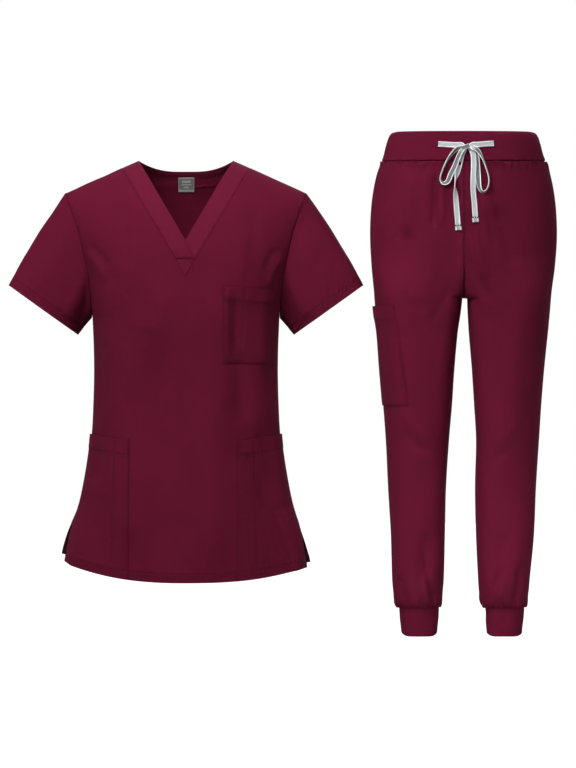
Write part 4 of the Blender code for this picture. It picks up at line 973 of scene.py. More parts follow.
def rib_finish(name, light, dark):
    """Rib knit: duller than the twill, with upright ribs painted lighter on top as highlight and darker between
    as shade, and fine rows of loops.
    """
    material, tree = new_finish(name, 0.95, 0.03)
    place = add(tree, "ShaderNodeTexCoord", "Object")
    cloth = add(tree, "ShaderNodeUVMap", "UV", uv_map="cloth")
    ribs = add(tree, "ShaderNodeTexWave", "Fac", {
        "Vector": cloth, "Scale": STRAIGHT_WAVE / RIB_WAVE, "Distortion": 0.3, "Detail": 1.0},
        wave_type="BANDS", bands_direction="X")
    loops = add(tree, "ShaderNodeTexWave", "Fac", {
        "Vector": cloth, "Scale": STRAIGHT_WAVE / LOOP_WAVE, "Distortion": 1.0},
        wave_type="BANDS", bands_direction="Y")
    sag = add(tree, "ShaderNodeTexNoise", "Fac", {"Vector": place, "Scale": 1 / (KNIT_SAG_LUMP * MM)})
    # The ribs' waves paint a highlight on their tops and shade between them, as well as giving their relief.
    colour = add(tree, "ShaderNodeMix", "Result", {"Factor": ribs, "A": dark, "B": light}, data_type="RGBA")
    return finished(material, with_painted_shade(tree, colour), (sag, 0.8), (ribs, 0.15), (loops, 0.1))


def tape_finish(name):
    """Flat braided tape: a grey middle with fine slanted ribs, darker grey painted as shade on the loops and
    the knot, and white raised edges.
    The map's x runs across it, from its middle."""
    material, tree = new_finish(name, 0.8, 0.1)
    cloth = add(tree, "ShaderNodeUVMap", "UV", uv_map="cloth")
    across = add(tree, "ShaderNodeSeparateXYZ", "X", {"Vector": cloth})
    from_middle = add(tree, "ShaderNodeMath", 0, {0: across}, operation="ABSOLUTE")
    low, high = (mm * MM for mm in TAPE_BORDER)
    edge = add(tree, "ShaderNodeMapRange", 0, {"Value": from_middle, "From Min": low, "From Max": high})
    braid = add(tree, "ShaderNodeTexWave", "Fac", {
        "Vector": cloth, "Scale": SLANTED_WAVE / BRAID_WAVE, "Distortion": 0.5},
        wave_type="BANDS", bands_direction="DIAGONAL")
    # The attribute back is painted shade on the loops and the knot: it mixes the grey towards the darker grey.
    back = add(tree, "ShaderNodeAttribute", "Fac", attribute_name="back")
    face, reverse = (
        add(tree, "ShaderNodeMix", "Result", {"Factor": braid, "A": first, "B": second}, data_type="RGBA")
        for first, second in (TAPE_FACE, TAPE_PAINTED_SHADE))
    middle = add(tree, "ShaderNodeMix", "Result", {"Factor": back, "A": face, "B": reverse}, data_type="RGBA")
    colour = add(tree, "ShaderNodeMix", "Result", {"Factor": edge, "A": middle, "B": TAPE_WHITE},
                 data_type="RGBA")
    return finished(material, colour, (edge, 0.3), (braid, 0.15))


def label_finish(name, box):
    """Woven label: smoother than the cloth, grey, with a lighter border and plain lighter bars."""
    material, tree = new_finish(name, 0.7, 0.1)
    cloth = add(tree, "ShaderNodeUVMap", "UV", uv_map="cloth")
    parts = add(tree, "ShaderNodeSeparateXYZ", None, {"Vector": cloth}).outputs
    low, high = box
    x = add(tree, "ShaderNodeMapRange", 0, {"Value": parts["X"], "From Min": low[0], "From Max": high[0]})
    y = add(tree, "ShaderNodeMapRange", 0, {
        "Value": parts["Y"], "From Min": 0.0, "From Max": high[2] - low[2], "To Min": 1.0, "To Max": 0.0})

    def patch(left, right, bottom, top):
        """1 inside a rectangle of the label, given as shares of its width and height."""
        inside = 1.0
        for value, start, end in ((x, left, right), (y, bottom, top)):
            for limit, check in ((start, "GREATER_THAN"), (end, "LESS_THAN")):
                past = add(tree, "ShaderNodeMath", 0, {0: value, 1: limit}, operation=check)
                inside = add(tree, "ShaderNodeMath", 0, {0: inside, 1: past}, operation="MULTIPLY")
        return inside

    bars = 0.0
    for bar in LABEL_BARS:
        bars = add(tree, "ShaderNodeMath", 0, {0: bars, 1: patch(*bar)}, operation="MAXIMUM")
    ground = add(tree, "ShaderNodeMix", "Result", {
        "Factor": patch(*LABEL_MIDDLE), "A": LABEL_BORDER, "B": LABEL_GREY}, data_type="RGBA")
    colour = add(tree, "ShaderNodeMix", "Result", {"Factor": bars, "A": ground, "B": LABEL_BAR},
                 data_type="RGBA")
    threads = add(tree, "ShaderNodeTexWave", "Fac", {"Vector": cloth, "Scale": STRAIGHT_WAVE / LABEL_WAVE},
                  bands_direction="Y")
    return finished(material, colour, (threads, 0.08))


def thread_finish(name, light, dark):
    """Spun sewing thread: a little smoother than the cloth, lighter and darker along its twist."""
    material, tree = new_finish(name, 0.7, 0.1)
    place = add(tree, "ShaderNodeTexCoord", "Object")
    twist = add(tree, "ShaderNodeTexNoise", "Fac", {
        "Vector": place, "Scale": 1 / (TWIST_LUMP * MM), "Detail": 1.0})
    colour = add(tree, "ShaderNodeMix", "Result", {"Factor": twist, "A": light, "B": dark}, data_type="RGBA")
    return finished(material, colour, (twist, 0.05))


# ---- Stitches ----

def stitch_tree(material):
    """Stitches along curves: each is a small rounded thread that follows its curve and faces outwards."""
    tree = bpy.data.node_groups.new("stitches along seams", "GeometryNodeTree")
    face = tree.interface
    face.new_socket("Geometry", in_out="INPUT", socket_type="NodeSocketGeometry")
    for name, value in zip(STITCH_INPUTS, SEAM_STITCH):
        socket = face.new_socket(name, in_out="INPUT", socket_type="NodeSocketFloat")
        socket.default_value = value * MM
    face.new_socket("Geometry", in_out="OUTPUT", socket_type="NodeSocketGeometry")
    given = add(tree, "NodeGroupInput").outputs
    curve = add(tree, "GeometryNodeMeshToCurve", "Curve", {"Mesh": given["Geometry"]})
    even = add(tree, "GeometryNodeResampleCurve", "Curve", {"Curve": curve, "Length": given["Pitch"]},
               mode="LENGTH")
    bead = add(tree, "GeometryNodeMeshUVSphere", "Mesh", {"Segments": 6, "Rings": 4, "Radius": 0.5})
    size = add(tree, "ShaderNodeCombineXYZ", "Vector", {
        "X": given["Length"], "Y": given["Width"], "Z": given["Width"]})
    tangent = add(tree, "GeometryNodeInputTangent", "Tangent")
    facing = add(tree, "GeometryNodeInputNamedAttribute", "Attribute", {"Name": "facing"},
                 data_type="FLOAT_VECTOR")
    run = add(tree, "FunctionNodeAlignRotationToVector", 0, {"Vector": tangent}, axis="X")
    turn = add(tree, "FunctionNodeAlignRotationToVector", 0, {"Rotation": run, "Vector": facing},
               axis="Z", pivot_axis="X")
    placed = add(tree, "GeometryNodeInstanceOnPoints", "Instances", {
        "Points": even, "Instance": bead, "Rotation": turn, "Scale": size})
    real = add(tree, "GeometryNodeRealizeInstances", "Geometry", {"Geometry": placed})
    done = add(tree, "GeometryNodeSetMaterial", "Geometry", {"Geometry": real, "Material": material})
    add(tree, "NodeGroupOutput", None, {"Geometry": done})
    return tree


def sew(name, lines, material, slot, stitch=SEAM_STITCH):
    """Stitches along lines of (points, outward directions), as one plain mesh."""
    points, facing, edges = [], [], []
    for place, out in lines:
        first = len(points)
        points += list((place + out * STITCH_LIFT) * MM)
        facing += list(out)
        edges += [(first + k, first + k + 1) for k in range(len(place) - 1)]
    mesh = bpy.data.meshes.new(name)
    mesh.from_pydata([tuple(p) for p in points], edges, [])
    layer = mesh.attributes.new("facing", "FLOAT_VECTOR", "POINT")
    layer.data.foreach_set("vector", np.array(facing, dtype=np.float32).reshape(-1))
    carrier = in_scene(name + "_lines", mesh)
    modifier = carrier.modifiers.new("stitches", "NODES")
    modifier.node_group = stitch_tree(material)
    sizes = dict(zip(STITCH_INPUTS, stitch))
    for socket in modifier.node_group.interface.items_tree:
        if socket.in_out == "INPUT" and socket.name in sizes:
            modifier[socket.identifier] = sizes[socket.name] * MM
    made = bpy.data.meshes.new_from_object(carrier.evaluated_get(bpy.context.evaluated_depsgraph_get()))
    bpy.data.objects.remove(carrier, do_unlink=True)
    made.name = name
    made.materials.clear()
    made.materials.append(material)
    made.shade_smooth()
    put_on(in_scene(name, made), slot)


# ---- Which solids each piece stands for, and the body that it moves with ----

def put_on(piece, slot, *nodes):
    """The piece stands for its solids and moves with the one body. Its slot is not used."""
    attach(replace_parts(piece, *nodes) if nodes else piece, "root")


def sewn(name, panels, wall, material, node, slot):
    """One sewn piece: its mesh and the solid that it stands for. The size of its cut is worked out but not
    kept.
    """
    piece = shell(name, panels, wall, material)
    put_on(piece, slot, node)
    width, length, area = cut_size(panels)


def cut_size(panels):
    """Width, length and area of a piece's cut, in metres, from its lengths along the cloth."""
    width = sum(panel.runs()[0][:, -1].max() for panel in panels)
    length = max(panel.runs()[1][-1].max() for panel in panels)
    area = 0.0
    for p in (panel.base for panel in panels):
        a, b = p[1:, 1:] - p[:-1, :-1], p[1:, :-1] - p[:-1, 1:]
        area += np.linalg.norm(np.cross(a, b), axis=-1).sum() / 2
    return round(float(width) * MM, 3), round(float(length) * MM, 3), float(area) * MM * MM


# ---- The top ----

def front_toward(points):
    return points * [0.2, 1, 0.3] + [0, 0, 60]


def torso_panel(face, side, u, v):
    """A panel on the top's front or back, with its folds."""
    form = front_form if face == FRONT else back_form
    panel = Panel(lambda j, v: form(side, j, v), u, v, front_toward)
    x, z = panel.base[..., 0], panel.base[..., 2]
    aside = edge_x(np.minimum(z, SHOULDER_Z)) - np.abs(x)
    panel.height += fold_height(TOP_FOLDS, face, x, z) * ease(aside / SEAM_FADE)
    panel.height += fold_height(TOP_CREASES + CHEST_FOLDS + HIP_FOLDS, face, x, z) * ease(aside / CREASE_FADE)
    panel.height += rumple(panel.base, 11 + face, 95, 0.7) * ease(aside / RUMPLE_FADE)
    return panel


def side_and_hem(panel, shade=SIDE_SHADE):
    panel.seam("end", 0.8, 0.9, SIDE_DIP_AT, shade)
    panel.turned("bottom", HEM_TURN)


def front_panel(side):
    mouth, chest, chest_end = (front_v(z) for z in (HIP_MOUTH_Z, *CHEST_POCKET_Z))
    u = beside(steps(0, COLUMNS, 0.25, SEAM_GAPS, 1 / COLUMN_MM), (CHEST_POCKET_COLUMN, -POCKET_COLUMN_MM),
               (CHEST_POCKET_LAST, POCKET_COLUMN_MM), (HIP_POCKET_COLUMN, -POCKET_COLUMN_MM))
    v = steps(0, 1, 0.02, SEAM_GAPS, 1 / NECK_SEAM_MM)
    v += steps(1, FRONT_END, 0.042, HEM_GAPS, 1 / DEPTH_UNIT)[1:]
    v = beside(v, (mouth, -DEPTH_UNIT), (chest, -DEPTH_UNIT), (chest_end, DEPTH_UNIT))
    panel = torso_panel(FRONT, side, u, v)
    # Shade painted beside the hip pockets, and on the left beside the chest pocket.
    panel.paint_shade_under((HIP_POCKET_COLUMN, COLUMNS), (mouth, FRONT_END + 1), POCKET_COLUMN_MM, DEPTH_UNIT)
    if side == LEFT:
        panel.paint_shade_under((CHEST_POCKET_COLUMN, CHEST_POCKET_LAST), (chest, chest_end), POCKET_COLUMN_MM, DEPTH_UNIT)
    # Shade painted along the neck seam, where the cloth also dips.
    neck = bell(panel.gap("start"), SEAM_LINE) * (panel.v <= 1)[:, None]
    panel.paint_shade(NECK_SHADE * neck)
    panel.height -= NECK_DIP * neck
    side_and_hem(panel)
    return panel


def back_panel(side):
    v = steps(0, 1, 0.022, SEAM_GAPS, 1 / ARMHOLE_MM) + steps(1, BACK_END, 0.042, HEM_GAPS, 1 / DEPTH_UNIT)[1:]
    panel = torso_panel(BACK, side, steps(0, COLUMNS, 0.25, SEAM_GAPS, 1 / COLUMN_MM), v)
    side_and_hem(panel)
    return panel


def pocket_mouth(panel, bulge, at_side):
    """The mouth stands off the cloth. This fades downwards and to the sewn edges."""
    across, down = panel.shares()
    fade = ease(across / MOUTH_FADE_IN) * lerp(at_side, 1, ease((1 - across) / MOUTH_FADE_OUT))
    panel.height += bulge * fade * (1 - ease(down / MOUTH_FADE_DOWN))[:, None]


def torso_pocket(side, columns, depths, bulge, turn, divider):
    stitched = [turn - TURN_STITCH + aside for aside in (-0.9, 0.0, 0.9, 2.3)]
    u = steps(*columns, 0.08, POCKET_SIDE_GAPS, 1 / POCKET_COLUMN_MM)
    pocket = torso_panel(FRONT, side, u, steps(*depths, 0.036, (0.8, 2.2, *stitched), 1 / DEPTH_UNIT))
    pocket_mouth(pocket, bulge, MOUTH_AT_SIDE)
    pocket.pressed(divider)
    pocket.turned("top", turn, POCKET_TURN_THICK)
    pocket.topstitched("start", POCKET_STITCH)
    pocket.lift = LAY_GAP + POCKET_WALL
    return pocket


def arm_line(face, side):
    z = np.linspace(SHOULDER_Z, ARMPIT_Z, 160)
    points = torso_point(face, side * edge_x(z), z)
    run = run_along(points)
    return points, run / run[-1]


def sleeve_form(side):
    """Round from the shoulder (0) by the front to the armpit (1) and by the back to the shoulder (2)."""
    lines = {face: arm_line(face, side) for face in (FRONT, BACK)}
    across = np.array([side * HEM_DIRECTION[0], 0, HEM_DIRECTION[1]])
    crown = np.array([side * HEM_DIRECTION[1], 0, HEM_DIRECTION[0]])
    middle = np.array([side * HEM_X, 0, HEM_Z])

    def form(turn, step):
        starts = []
        for (points, run), way in ((lines[FRONT], turn), (lines[BACK], 2 - turn)):
            starts.append(np.stack([np.interp(way, run, points[:, k]) for k in range(3)], axis=-1))
        start = np.where((turn <= 1)[..., None], *starts)
        cos, sin = np.cos(math.pi * turn)[..., None], np.sin(math.pi * turn)[..., None]
        end = middle + across * (HEM_HALF * cos) + np.array([0, -HEM_HALF_DEPTH, 0]) * sin
        part = step[..., None]
        return lerp(start, end, part) + crown * (SLEEVE_CROWN * 4 * part * (1 - part) * np.maximum(0.0, cos))
    return form


def sleeve_panel(side):
    start, end = (np.array([side * x, 0, z]) for x, z in (ARM_STARTS_AT, (HEM_X, HEM_Z)))
    arm = unit(end - start)

    def toward(points):
        way = points - start
        return way - arm * (way @ arm)[..., None]

    v = steps(-SLEEVE_TUCK, 0.16, 0.012) + steps(0.16, 0.84, 0.026)[1:] + steps(0.84, 1, 0.012)[1:]
    panel = Panel(sleeve_form(side), steps(0, 2, 0.021), v, toward)
    turn, way = np.meshgrid(panel.u * SLEEVE_HALF_ROUND, panel.v * SLEEVE_LENGTH)
    panel.height += fold_height(SLEEVE_FOLDS[side], FRONT, turn, way)
    panel.height += rumple(panel.base, 21 + side, 80, 0.6)
    panel.seam("top", 0.6, 1.6, shade=0.7)
    panel.turned("bottom", HEM_TURN)
    return panel


def neck_panels():
    """Bands round the neck. The right one crosses over the left one, and both lie a little proud."""
    bands = {}
    for side in (RIGHT, LEFT):
        v = steps(0, V_POINT_SHARE, 0.02) + steps(V_POINT_SHARE, CROSSING_SHARE, 0.012)[1:]
        u = steps(0, 1, 0.1, BAND_GAPS, 1 / BAND_MM)
        band = Panel(lambda t, s: band_form(side, t, s), u, v, front_toward)
        band.height += BAND_PROUD
        if side == RIGHT:
            past = (band.v - V_POINT_SHARE + 0.02) / (CROSSING_SHARE - V_POINT_SHARE)
            band.height += BAND_OVER * (ease(past * 3) * ease((1.2 - past) * 3))[:, None]
        band.seam("end", 0.7, 1.3, shade=0.3)
        # Shade painted along the bands' neckline edge where they cross.
        band.paint_shade(CROSSING_SHADE * bell(band.gap("start"), 1.3) * (band.v > V_POINT_SHARE)[:, None])
        bands[side] = band

    def insert_form(u, share):
        x, z = neck_seam(share)
        return torso_point(FRONT, u * x, z)

    insert = Panel(insert_form, steps(-1, 1, 0.1), steps(CROSSING_SHARE, 1, 0.012), front_toward)
    insert.height += BAND_PROUD * 0.5
    insert.seam("top", 0.3, 1.0, shade=0.4)
    behind = Panel(lambda t, x: back_band_form(x, t), steps(0, 1, 0.1, BAND_GAPS, 1 / BACK_BAND_MM),
                   steps(-SEAM_AT_SHOULDER, SEAM_AT_SHOULDER, 3.5), front_toward)
    behind.height += BAND_PROUD * 0.4
    behind.topstitched("start", BACK_BAND_STITCH)
    behind.seam("end", 0.4, 1.6, shade=0.1)
    return bands, insert, behind


def label_panel():
    low, high = (np.array(corner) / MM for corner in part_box("neck_label"))
    panel = Panel(lambda x, z: torso_point(BACK, x, z), steps(low[0] + 1, high[0] - 1, 1.5),
                  steps(high[2] + LABEL_RAISE, low[2] + LABEL_RAISE, 1.5), lambda points: points * [0, -1, 0])
    panel.height += 0.25 * np.sin((panel.u - low[0]) / 5.0)[None, :]
    panel.lift = CLOTH_WALL + LAY_GAP + LABEL_WALL
    return panel


def make_top(twill, bias, label, thread):
    front, back, sleeves = ({side: make(side) for side in (RIGHT, LEFT)}
                            for make in (front_panel, back_panel, sleeve_panel))
    sewn("front", list(front.values()), CLOTH_WALL, twill, "top_front", "cloth")
    sewn("back", list(back.values()), CLOTH_WALL, twill, "top_back", "cloth")
    bands, insert, behind = neck_panels()
    for kind, panels, cloth in (("sleeve", sleeves, twill), ("neckband", bands, bias)):
        for side, panel in panels.items():
            node = f"{kind}_{NAMES[side]}"
            sewn(node + "_cloth", [panel], CLOTH_WALL, cloth, node, "cloth")
    sewn("insert", [insert], CLOTH_WALL, bias, "neck_insert", "cloth")
    sewn("neckband_behind", [behind], CLOTH_WALL, bias, "neckband_back", "cloth")
    sewn("label", [label_panel()], LABEL_WALL, label, "neck_label", "label")
    chest = torso_pocket(LEFT, (CHEST_POCKET_COLUMN, CHEST_POCKET_LAST), [front_v(z) for z in CHEST_POCKET_Z],
                         CHEST_MOUTH_BULGE, CHEST_TURN, CHEST_DIVIDER)
    chest.topstitched("bottom", POCKET_STITCH)
    sewn("chest_pocket_cloth", [chest], POCKET_WALL, twill, "chest_pocket", "cloth")
    lines, bars = [], []
    for side in (RIGHT, LEFT):
        hip = torso_pocket(side, (HIP_POCKET_COLUMN, COLUMNS), (front_v(HIP_MOUTH_Z), FRONT_END),
                           HIP_MOUTH_BULGE, HIP_TURN, PEN_DIVIDERS[side])
        side_and_hem(hip, 1.0)
        node = f"hip_pocket_{NAMES[side]}"
        sewn(node + "_cloth", [hip], POCKET_WALL, twill, node, "cloth")
        lines += [panel.line("bottom", HEM_TURN - TURN_STITCH) for panel in (front[side], back[side], hip)]
        lines += [hip.line("top", HIP_TURN - TURN_STITCH), hip.line("top", HIP_MOUTH_STITCH),
                  hip.line("start", POCKET_STITCH), hip.line("start", POCKET_STITCH + HIP_ROW),
                  sleeves[side].line("bottom", HEM_TURN - TURN_STITCH), hip.trace(PEN_DIVIDERS[side])]
        lines += [panel[side].line("end", VENT_STITCH, VENT_STITCH_ENDS) for panel in (front, back)]
        x = getattr(HIP_POCKET_X[1], NAMES[side])
        bars.append(hip.trace(((side * (x + 2.2), HIP_MOUTH_Z - 1), (side * (x + 2.4), HIP_MOUTH_Z - 9))))
    lines += [chest.line("top", CHEST_TURN - TURN_STITCH),
              chest.line("top", CHEST_TURN - TURN_STITCH - CHEST_TOP_ROW),
              chest.line("bottom", POCKET_STITCH), chest.line("bottom", POCKET_STITCH + CHEST_ROW),
              chest.line("start", POCKET_STITCH), chest.line("end", POCKET_STITCH), chest.trace(CHEST_DIVIDER)]
    sew("bartacks", bars + [chest.trace(line) for line in CHEST_BARS], thread, "cloth", BAR_STITCH)
    lines += [insert.line("top", gap) for gap in INSERT_STITCHES] + [behind.line("start", BACK_BAND_STITCH)]
    sew("top_stitching", lines, thread, "cloth")


# ---- The trousers ----

def trouser_panel(face, side):
    u = beside(steps(0, COLUMNS, 1 / 6, SEAM_GAPS, 1 / LEG_COLUMN_MM), (CARGO_COLUMN, -LEG_COLUMN_MM))
    v = steps(WAIST_Z, FINE_ABOVE_Z, 2.0, SEAM_GAPS) + steps(FINE_ABOVE_Z, FINE_BELOW_Z, 4.0)[1:]
    v += steps(FINE_BELOW_Z, CUFF_TOP_Z, 2.0, SEAM_GAPS)[1:]
    v = sorted(beside(v, (POCKET_TOP_Z, 1), (POCKET_END_Z, -1)) + CROTCH_ROWS)[::-1]
    panel = Panel(lambda j, z: trouser_form(face, side, cargo_share(side, j, z), z), u, v, away_from_leg(side))
    meet_at_centre(face, panel)
    fade = trouser_folds(panel, side, np.broadcast_to(panel.u, panel.height.shape), {face: 1.0})
    panel.height += rumple(panel.base, 31 + face + 3 * side, 90, 0.7) * fade
    # Shade painted beside the cargo pocket on the right leg, and along the seams.
    if side == RIGHT:
        panel.paint_shade_under((CARGO_COLUMN, COLUMNS), (POCKET_END_Z, POCKET_TOP_Z), LEG_COLUMN_MM, 1)
    panel.seam("end", shade=0.6)
    panel.seam("start", 0.8, 2.0, shade=0.4)
    panel.seam("top", 0.4, 2.0, shade=0.1)
    panel.seam("bottom", 0.9, 2.4, shade=0.3)
    gathered(panel, "top", 13, 5.4, 12.5, 61 + face + 3 * side)
    gathered(panel, "bottom", 17, 4.8, 8.0, 71 + face + 3 * side)
    return panel


def meet_at_centre(face, panel):
    """Above the crotch both halves' edges stay in the plane between the legs, so that no slit opens."""
    run = np.gradient(panel.base[:, 0], axis=0)
    square = -face * np.stack([0 * run[:, 0], run[:, 2], -run[:, 1]], axis=-1)
    above = panel.base[:, 0, 2] > CROTCH_Z
    panel.out[above, 0] = unit(square)[above]


def trouser_folds(panel, side, columns, faces):
    """Folds on the faces that a panel is on. Gives how they fade to the seams."""
    x, z = panel.base[..., 0] - TROUSER_X, panel.base[..., 2]
    share = cargo_share(side, columns, z)
    fade = ease(np.minimum(share, 1 - share) / SEAM_FADE_SHARE)
    for face, here in faces.items():
        panel.height += fold_height(TROUSER_FOLDS + TROUSER_CREASES, face, x, z) * fade * here
    return fade


def gathered(panel, edge, reach, height, spacing, seed):
    """Small uneven tucks that run from a gathered seam and die out, with shade painted between them."""
    chance = np.random.default_rng(seed)
    across, _ = panel.runs()
    gap = panel.gap(edge)
    width = across[0 if edge == "top" else -1, -1]
    row = across * (width / np.maximum(across[:, -1:], 1e-6))
    place, tucks = chance.uniform(0.3, 0.8) * spacing, np.zeros(row.shape)
    while place < width - 1:
        size, long = chance.uniform(0.55, 1.0) * height, reach * chance.uniform(0.45, 1.3)
        wide, slant = spacing * chance.uniform(0.26, 0.42), chance.uniform(-0.22, 0.22)
        tucks += size * bell(row - place - slant * gap, wide) * bell(gap, long) * ease(gap / 2.2)
        place += spacing * chance.uniform(0.6, 1.5)
    panel.height += tucks
    # Shade painted in the hollows between the tucks, near the seam.
    panel.paint_shade(GATHER_SHADE * np.clip(1 - 1.6 * tucks / height, 0, 1) * bell(gap, 0.4 * reach))


def waistband_panel():
    def form(turn, z):
        quarter = np.floor(turn)
        part = turn - quarter
        angle = np.where(quarter % 2 == 0, part, 1 - part) * math.pi / 2
        side = np.where(np.isin(quarter, (0, 1, 4)), LEFT, RIGHT)
        face = np.where(np.isin(quarter, (0, 3, 4)), FRONT, BACK)
        x = along(WAISTBAND, "half", z) * np.sin(angle) ** (2 / HIP_POWER)
        y = along(WAISTBAND, "front", z) * np.maximum(0.0, np.cos(angle)) ** (2 / HIP_POWER)
        return np.stack([TROUSER_X + side * x, face * y, z + 0 * x], axis=-1)

    panel = Panel(form, steps(0, 4, 1 / 60), steps(WAISTBAND_TOP, WAIST_Z, 1.8, RIB_GAPS),
                  lambda points: points * [1, 1, 0] - [TROUSER_X, 0, 0])
    fade = ease((WAISTBAND_TOP - 1 - panel.base[..., 2]) / 24)
    panel.height += rumple(panel.base * [1, 1, 0.6], 41, 60, 0.6) * fade
    panel.seam("bottom", 0.4, 2.0, shade=0.1)
    gathered(panel, "bottom", 9, 3.0, 12.5, 91)
    return panel


def both_faces(side, share, z, ahead):
    """A leg's form where it is ahead of the side seam, and behind it elsewhere."""
    return np.where(ahead[..., None], trouser_form(FRONT, side, share, z), trouser_form(BACK, side, share, z))


def cuff_panel(side):
    def form(turn, z):
        share = np.where(turn <= 1, turn, 2 - turn)
        low = CUFF_END_Z + CUFF_CORNER[side] * np.cos(share * math.pi) ** 8
        z = lerp(CUFF_TOP_Z, low, (z - CUFF_TOP_Z) / (CUFF_END_Z - CUFF_TOP_Z))
        return both_faces(side, share, z, turn <= 1)

    panel = Panel(form, steps(0, 2, 1 / 48), steps(CUFF_TOP_Z, CUFF_END_Z, 1.6, RIB_GAPS), away_from_leg(side))
    panel.height += rumple(panel.base, 51 + side, 40, 0.4)
    panel.seam("top", 0.8, 1.8, shade=0.3)
    return panel


def cargo_panel():
    def form(s, z):
        return both_faces(RIGHT, cargo_share(RIGHT, COLUMNS - np.abs(s), z), z, s <= 0)

    span = COLUMNS - CARGO_COLUMN
    rows = steps(POCKET_TOP_Z, POCKET_END_Z, 3.6, (0.8, 2.2, CARGO_TURN - TURN_STITCH, CARGO_TURN + 0.8))
    around = steps(-span, span, 0.16, POCKET_SIDE_GAPS, 1 / POCKET_COLUMN_MM)
    panel = Panel(form, around, rows, away_from_leg(RIGHT))
    columns = COLUMNS - np.abs(np.broadcast_to(panel.u, panel.height.shape))
    trouser_folds(panel, RIGHT, columns, {FRONT: panel.u <= 0, BACK: panel.u > 0})
    pocket_mouth(panel, CARGO_BULGE, CARGO_AT_SIDE)
    across, _ = panel.shares()
    panel.height += CARGO_FULL * ease(across / 0.1) * ease((1 - across) / 0.1)
    panel.turned("top", CARGO_TURN)
    for edge in CARGO_SEWN:
        panel.topstitched(edge, POCKET_STITCH)
    panel.lift = LAY_GAP + POCKET_WALL
    return panel


def make_trousers(twill, knit, tape, thread, dark):
    panels = {(face, side): trouser_panel(face, side) for face in (FRONT, BACK) for side in (RIGHT, LEFT)}
    for (face, side), panel in panels.items():
        node = f"trouser_{side_name(face)}_{NAMES[side]}"
        sewn(node + "_cloth", [panel], CLOTH_WALL, twill, node, "cloth")
    sewn("waist", [waistband_panel()], BAND_WALL, knit, "waistband", "knit")
    for side, name in NAMES.items():
        sewn(f"cuff_{name}_knit", [cuff_panel(side)], CUFF_WALL, knit, f"cuff_{name}", "knit")
    cargo = cargo_panel()
    sewn("cargo_pocket_cloth", [cargo], POCKET_WALL, twill, "cargo_pocket", "cloth")
    drawstring(tape, thread, dark)
    lines = [cargo.line("top", CARGO_TURN - TURN_STITCH)]
    lines += [cargo.line(edge, POCKET_STITCH + more) for edge in CARGO_SEWN for more in (0, CARGO_ROW)]
    lines += [panels[FRONT, LEFT].trace([(TROUSER_X + FLY_STITCH_X, z) for z in FLY_STITCH_Z])]
    sew("trouser_stitching", lines, thread, "cloth")


# ---- The drawstring ----

def cloth_y(x, z):
    band = z > WAIST_Z
    half = np.where(band, along(WAISTBAND, "half", z), along(LEGS, "left_out", z))
    front = np.where(band, along(WAISTBAND, "front", z), along(LEGS, "front", z))
    return -front * section(x, half, HIP_POWER)


def tape_line(side):
    """One side's tape from its buttonhole through the knot, round its loop, and down to its free end."""
    x, z, off, turn = np.array(STRETCHES[side] + LOOPS[side] + TAILS[side], dtype=float).T
    line = smooth_line(np.stack([TROUSER_X + x, cloth_y(x, z) - off, z, turn], -1), 10)
    run = run_along(line[:, :3])
    even = np.linspace(0, run[-1], round(run[-1] / TAPE_STEP) + 1)
    line = np.stack([np.interp(even, run, line[:, k]) for k in range(4)], axis=-1)
    for _ in range(2):
        line[1:-1] = (line[:-2] + 2 * line[1:-1] + line[2:]) / 4
    first = 10 * len(STRETCHES[side])
    last = first + 10 * (len(LOOPS[side]) - 1)
    # Shade painted on the loop, faded in and out at its ends.
    back = ease((even - run[first]) / LOOP_SHADE_FADE) * ease((run[last] - even) / LOOP_SHADE_FADE)
    return line[:, :3], np.radians(line[:, 3]), back


def tape_mesh(name, middle, turn, material, back, slot, nodes=(), wide=TAPE_WIDTH, thick_edge=TAPE_EDGE):
    """A flat tape with raised rounded edges. Its width turns from lying flat to standing on edge."""
    section_points = [*TAPE_SECTION, *((-x, -y) for x, y in TAPE_SECTION)]
    run = unit(np.gradient(middle, axis=0))
    points, before = [], None
    for p, way, angle in zip(middle, run, turn):
        flat = unit(np.cross(way, [0, 1, 0]))
        across = flat * math.cos(angle) + np.array([0, 1, 0]) * math.sin(angle)
        across = unit(across - way * (across @ way))
        if before is not None and across @ before < 0:
            across = -across
        before = across
        thick = np.cross(way, across)
        points += [p + across * (x * wide / 2) + thick * (y * thick_edge) for x, y in section_points]
    count, rings, length = len(section_points), len(middle), run_along(middle)
    faces, uv = [], []
    for i in range(rings - 1):
        for k in range(count):
            n = (k + 1) % count
            corners = ((i, k), (i + 1, k), (i + 1, n), (i, n))
            faces.append([r * count + m for r, m in corners])
            uv.append([(section_points[m][0] * wide / 2 * MM, length[r] * MM) for r, m in corners])
    for ring, way in ((0, 1), (rings - 1, -1)):
        faces.append([ring * count + k for k in range(count)][::way])
        uv.append([(x * wide / 2 * MM, length[ring] * MM) for x, _ in section_points][::way])
    # back is the share of painted shade along the tape.
    item = make_mesh(name, np.array(points) * MM, faces, uv, material, back=np.repeat(back, count))
    mesh = bmesh.new()
    mesh.from_mesh(item.data)
    bmesh.ops.recalc_face_normals(mesh, faces=mesh.faces)
    mesh.to_mesh(item.data)
    mesh.free()
    put_on(item, slot, *nodes)
    return item


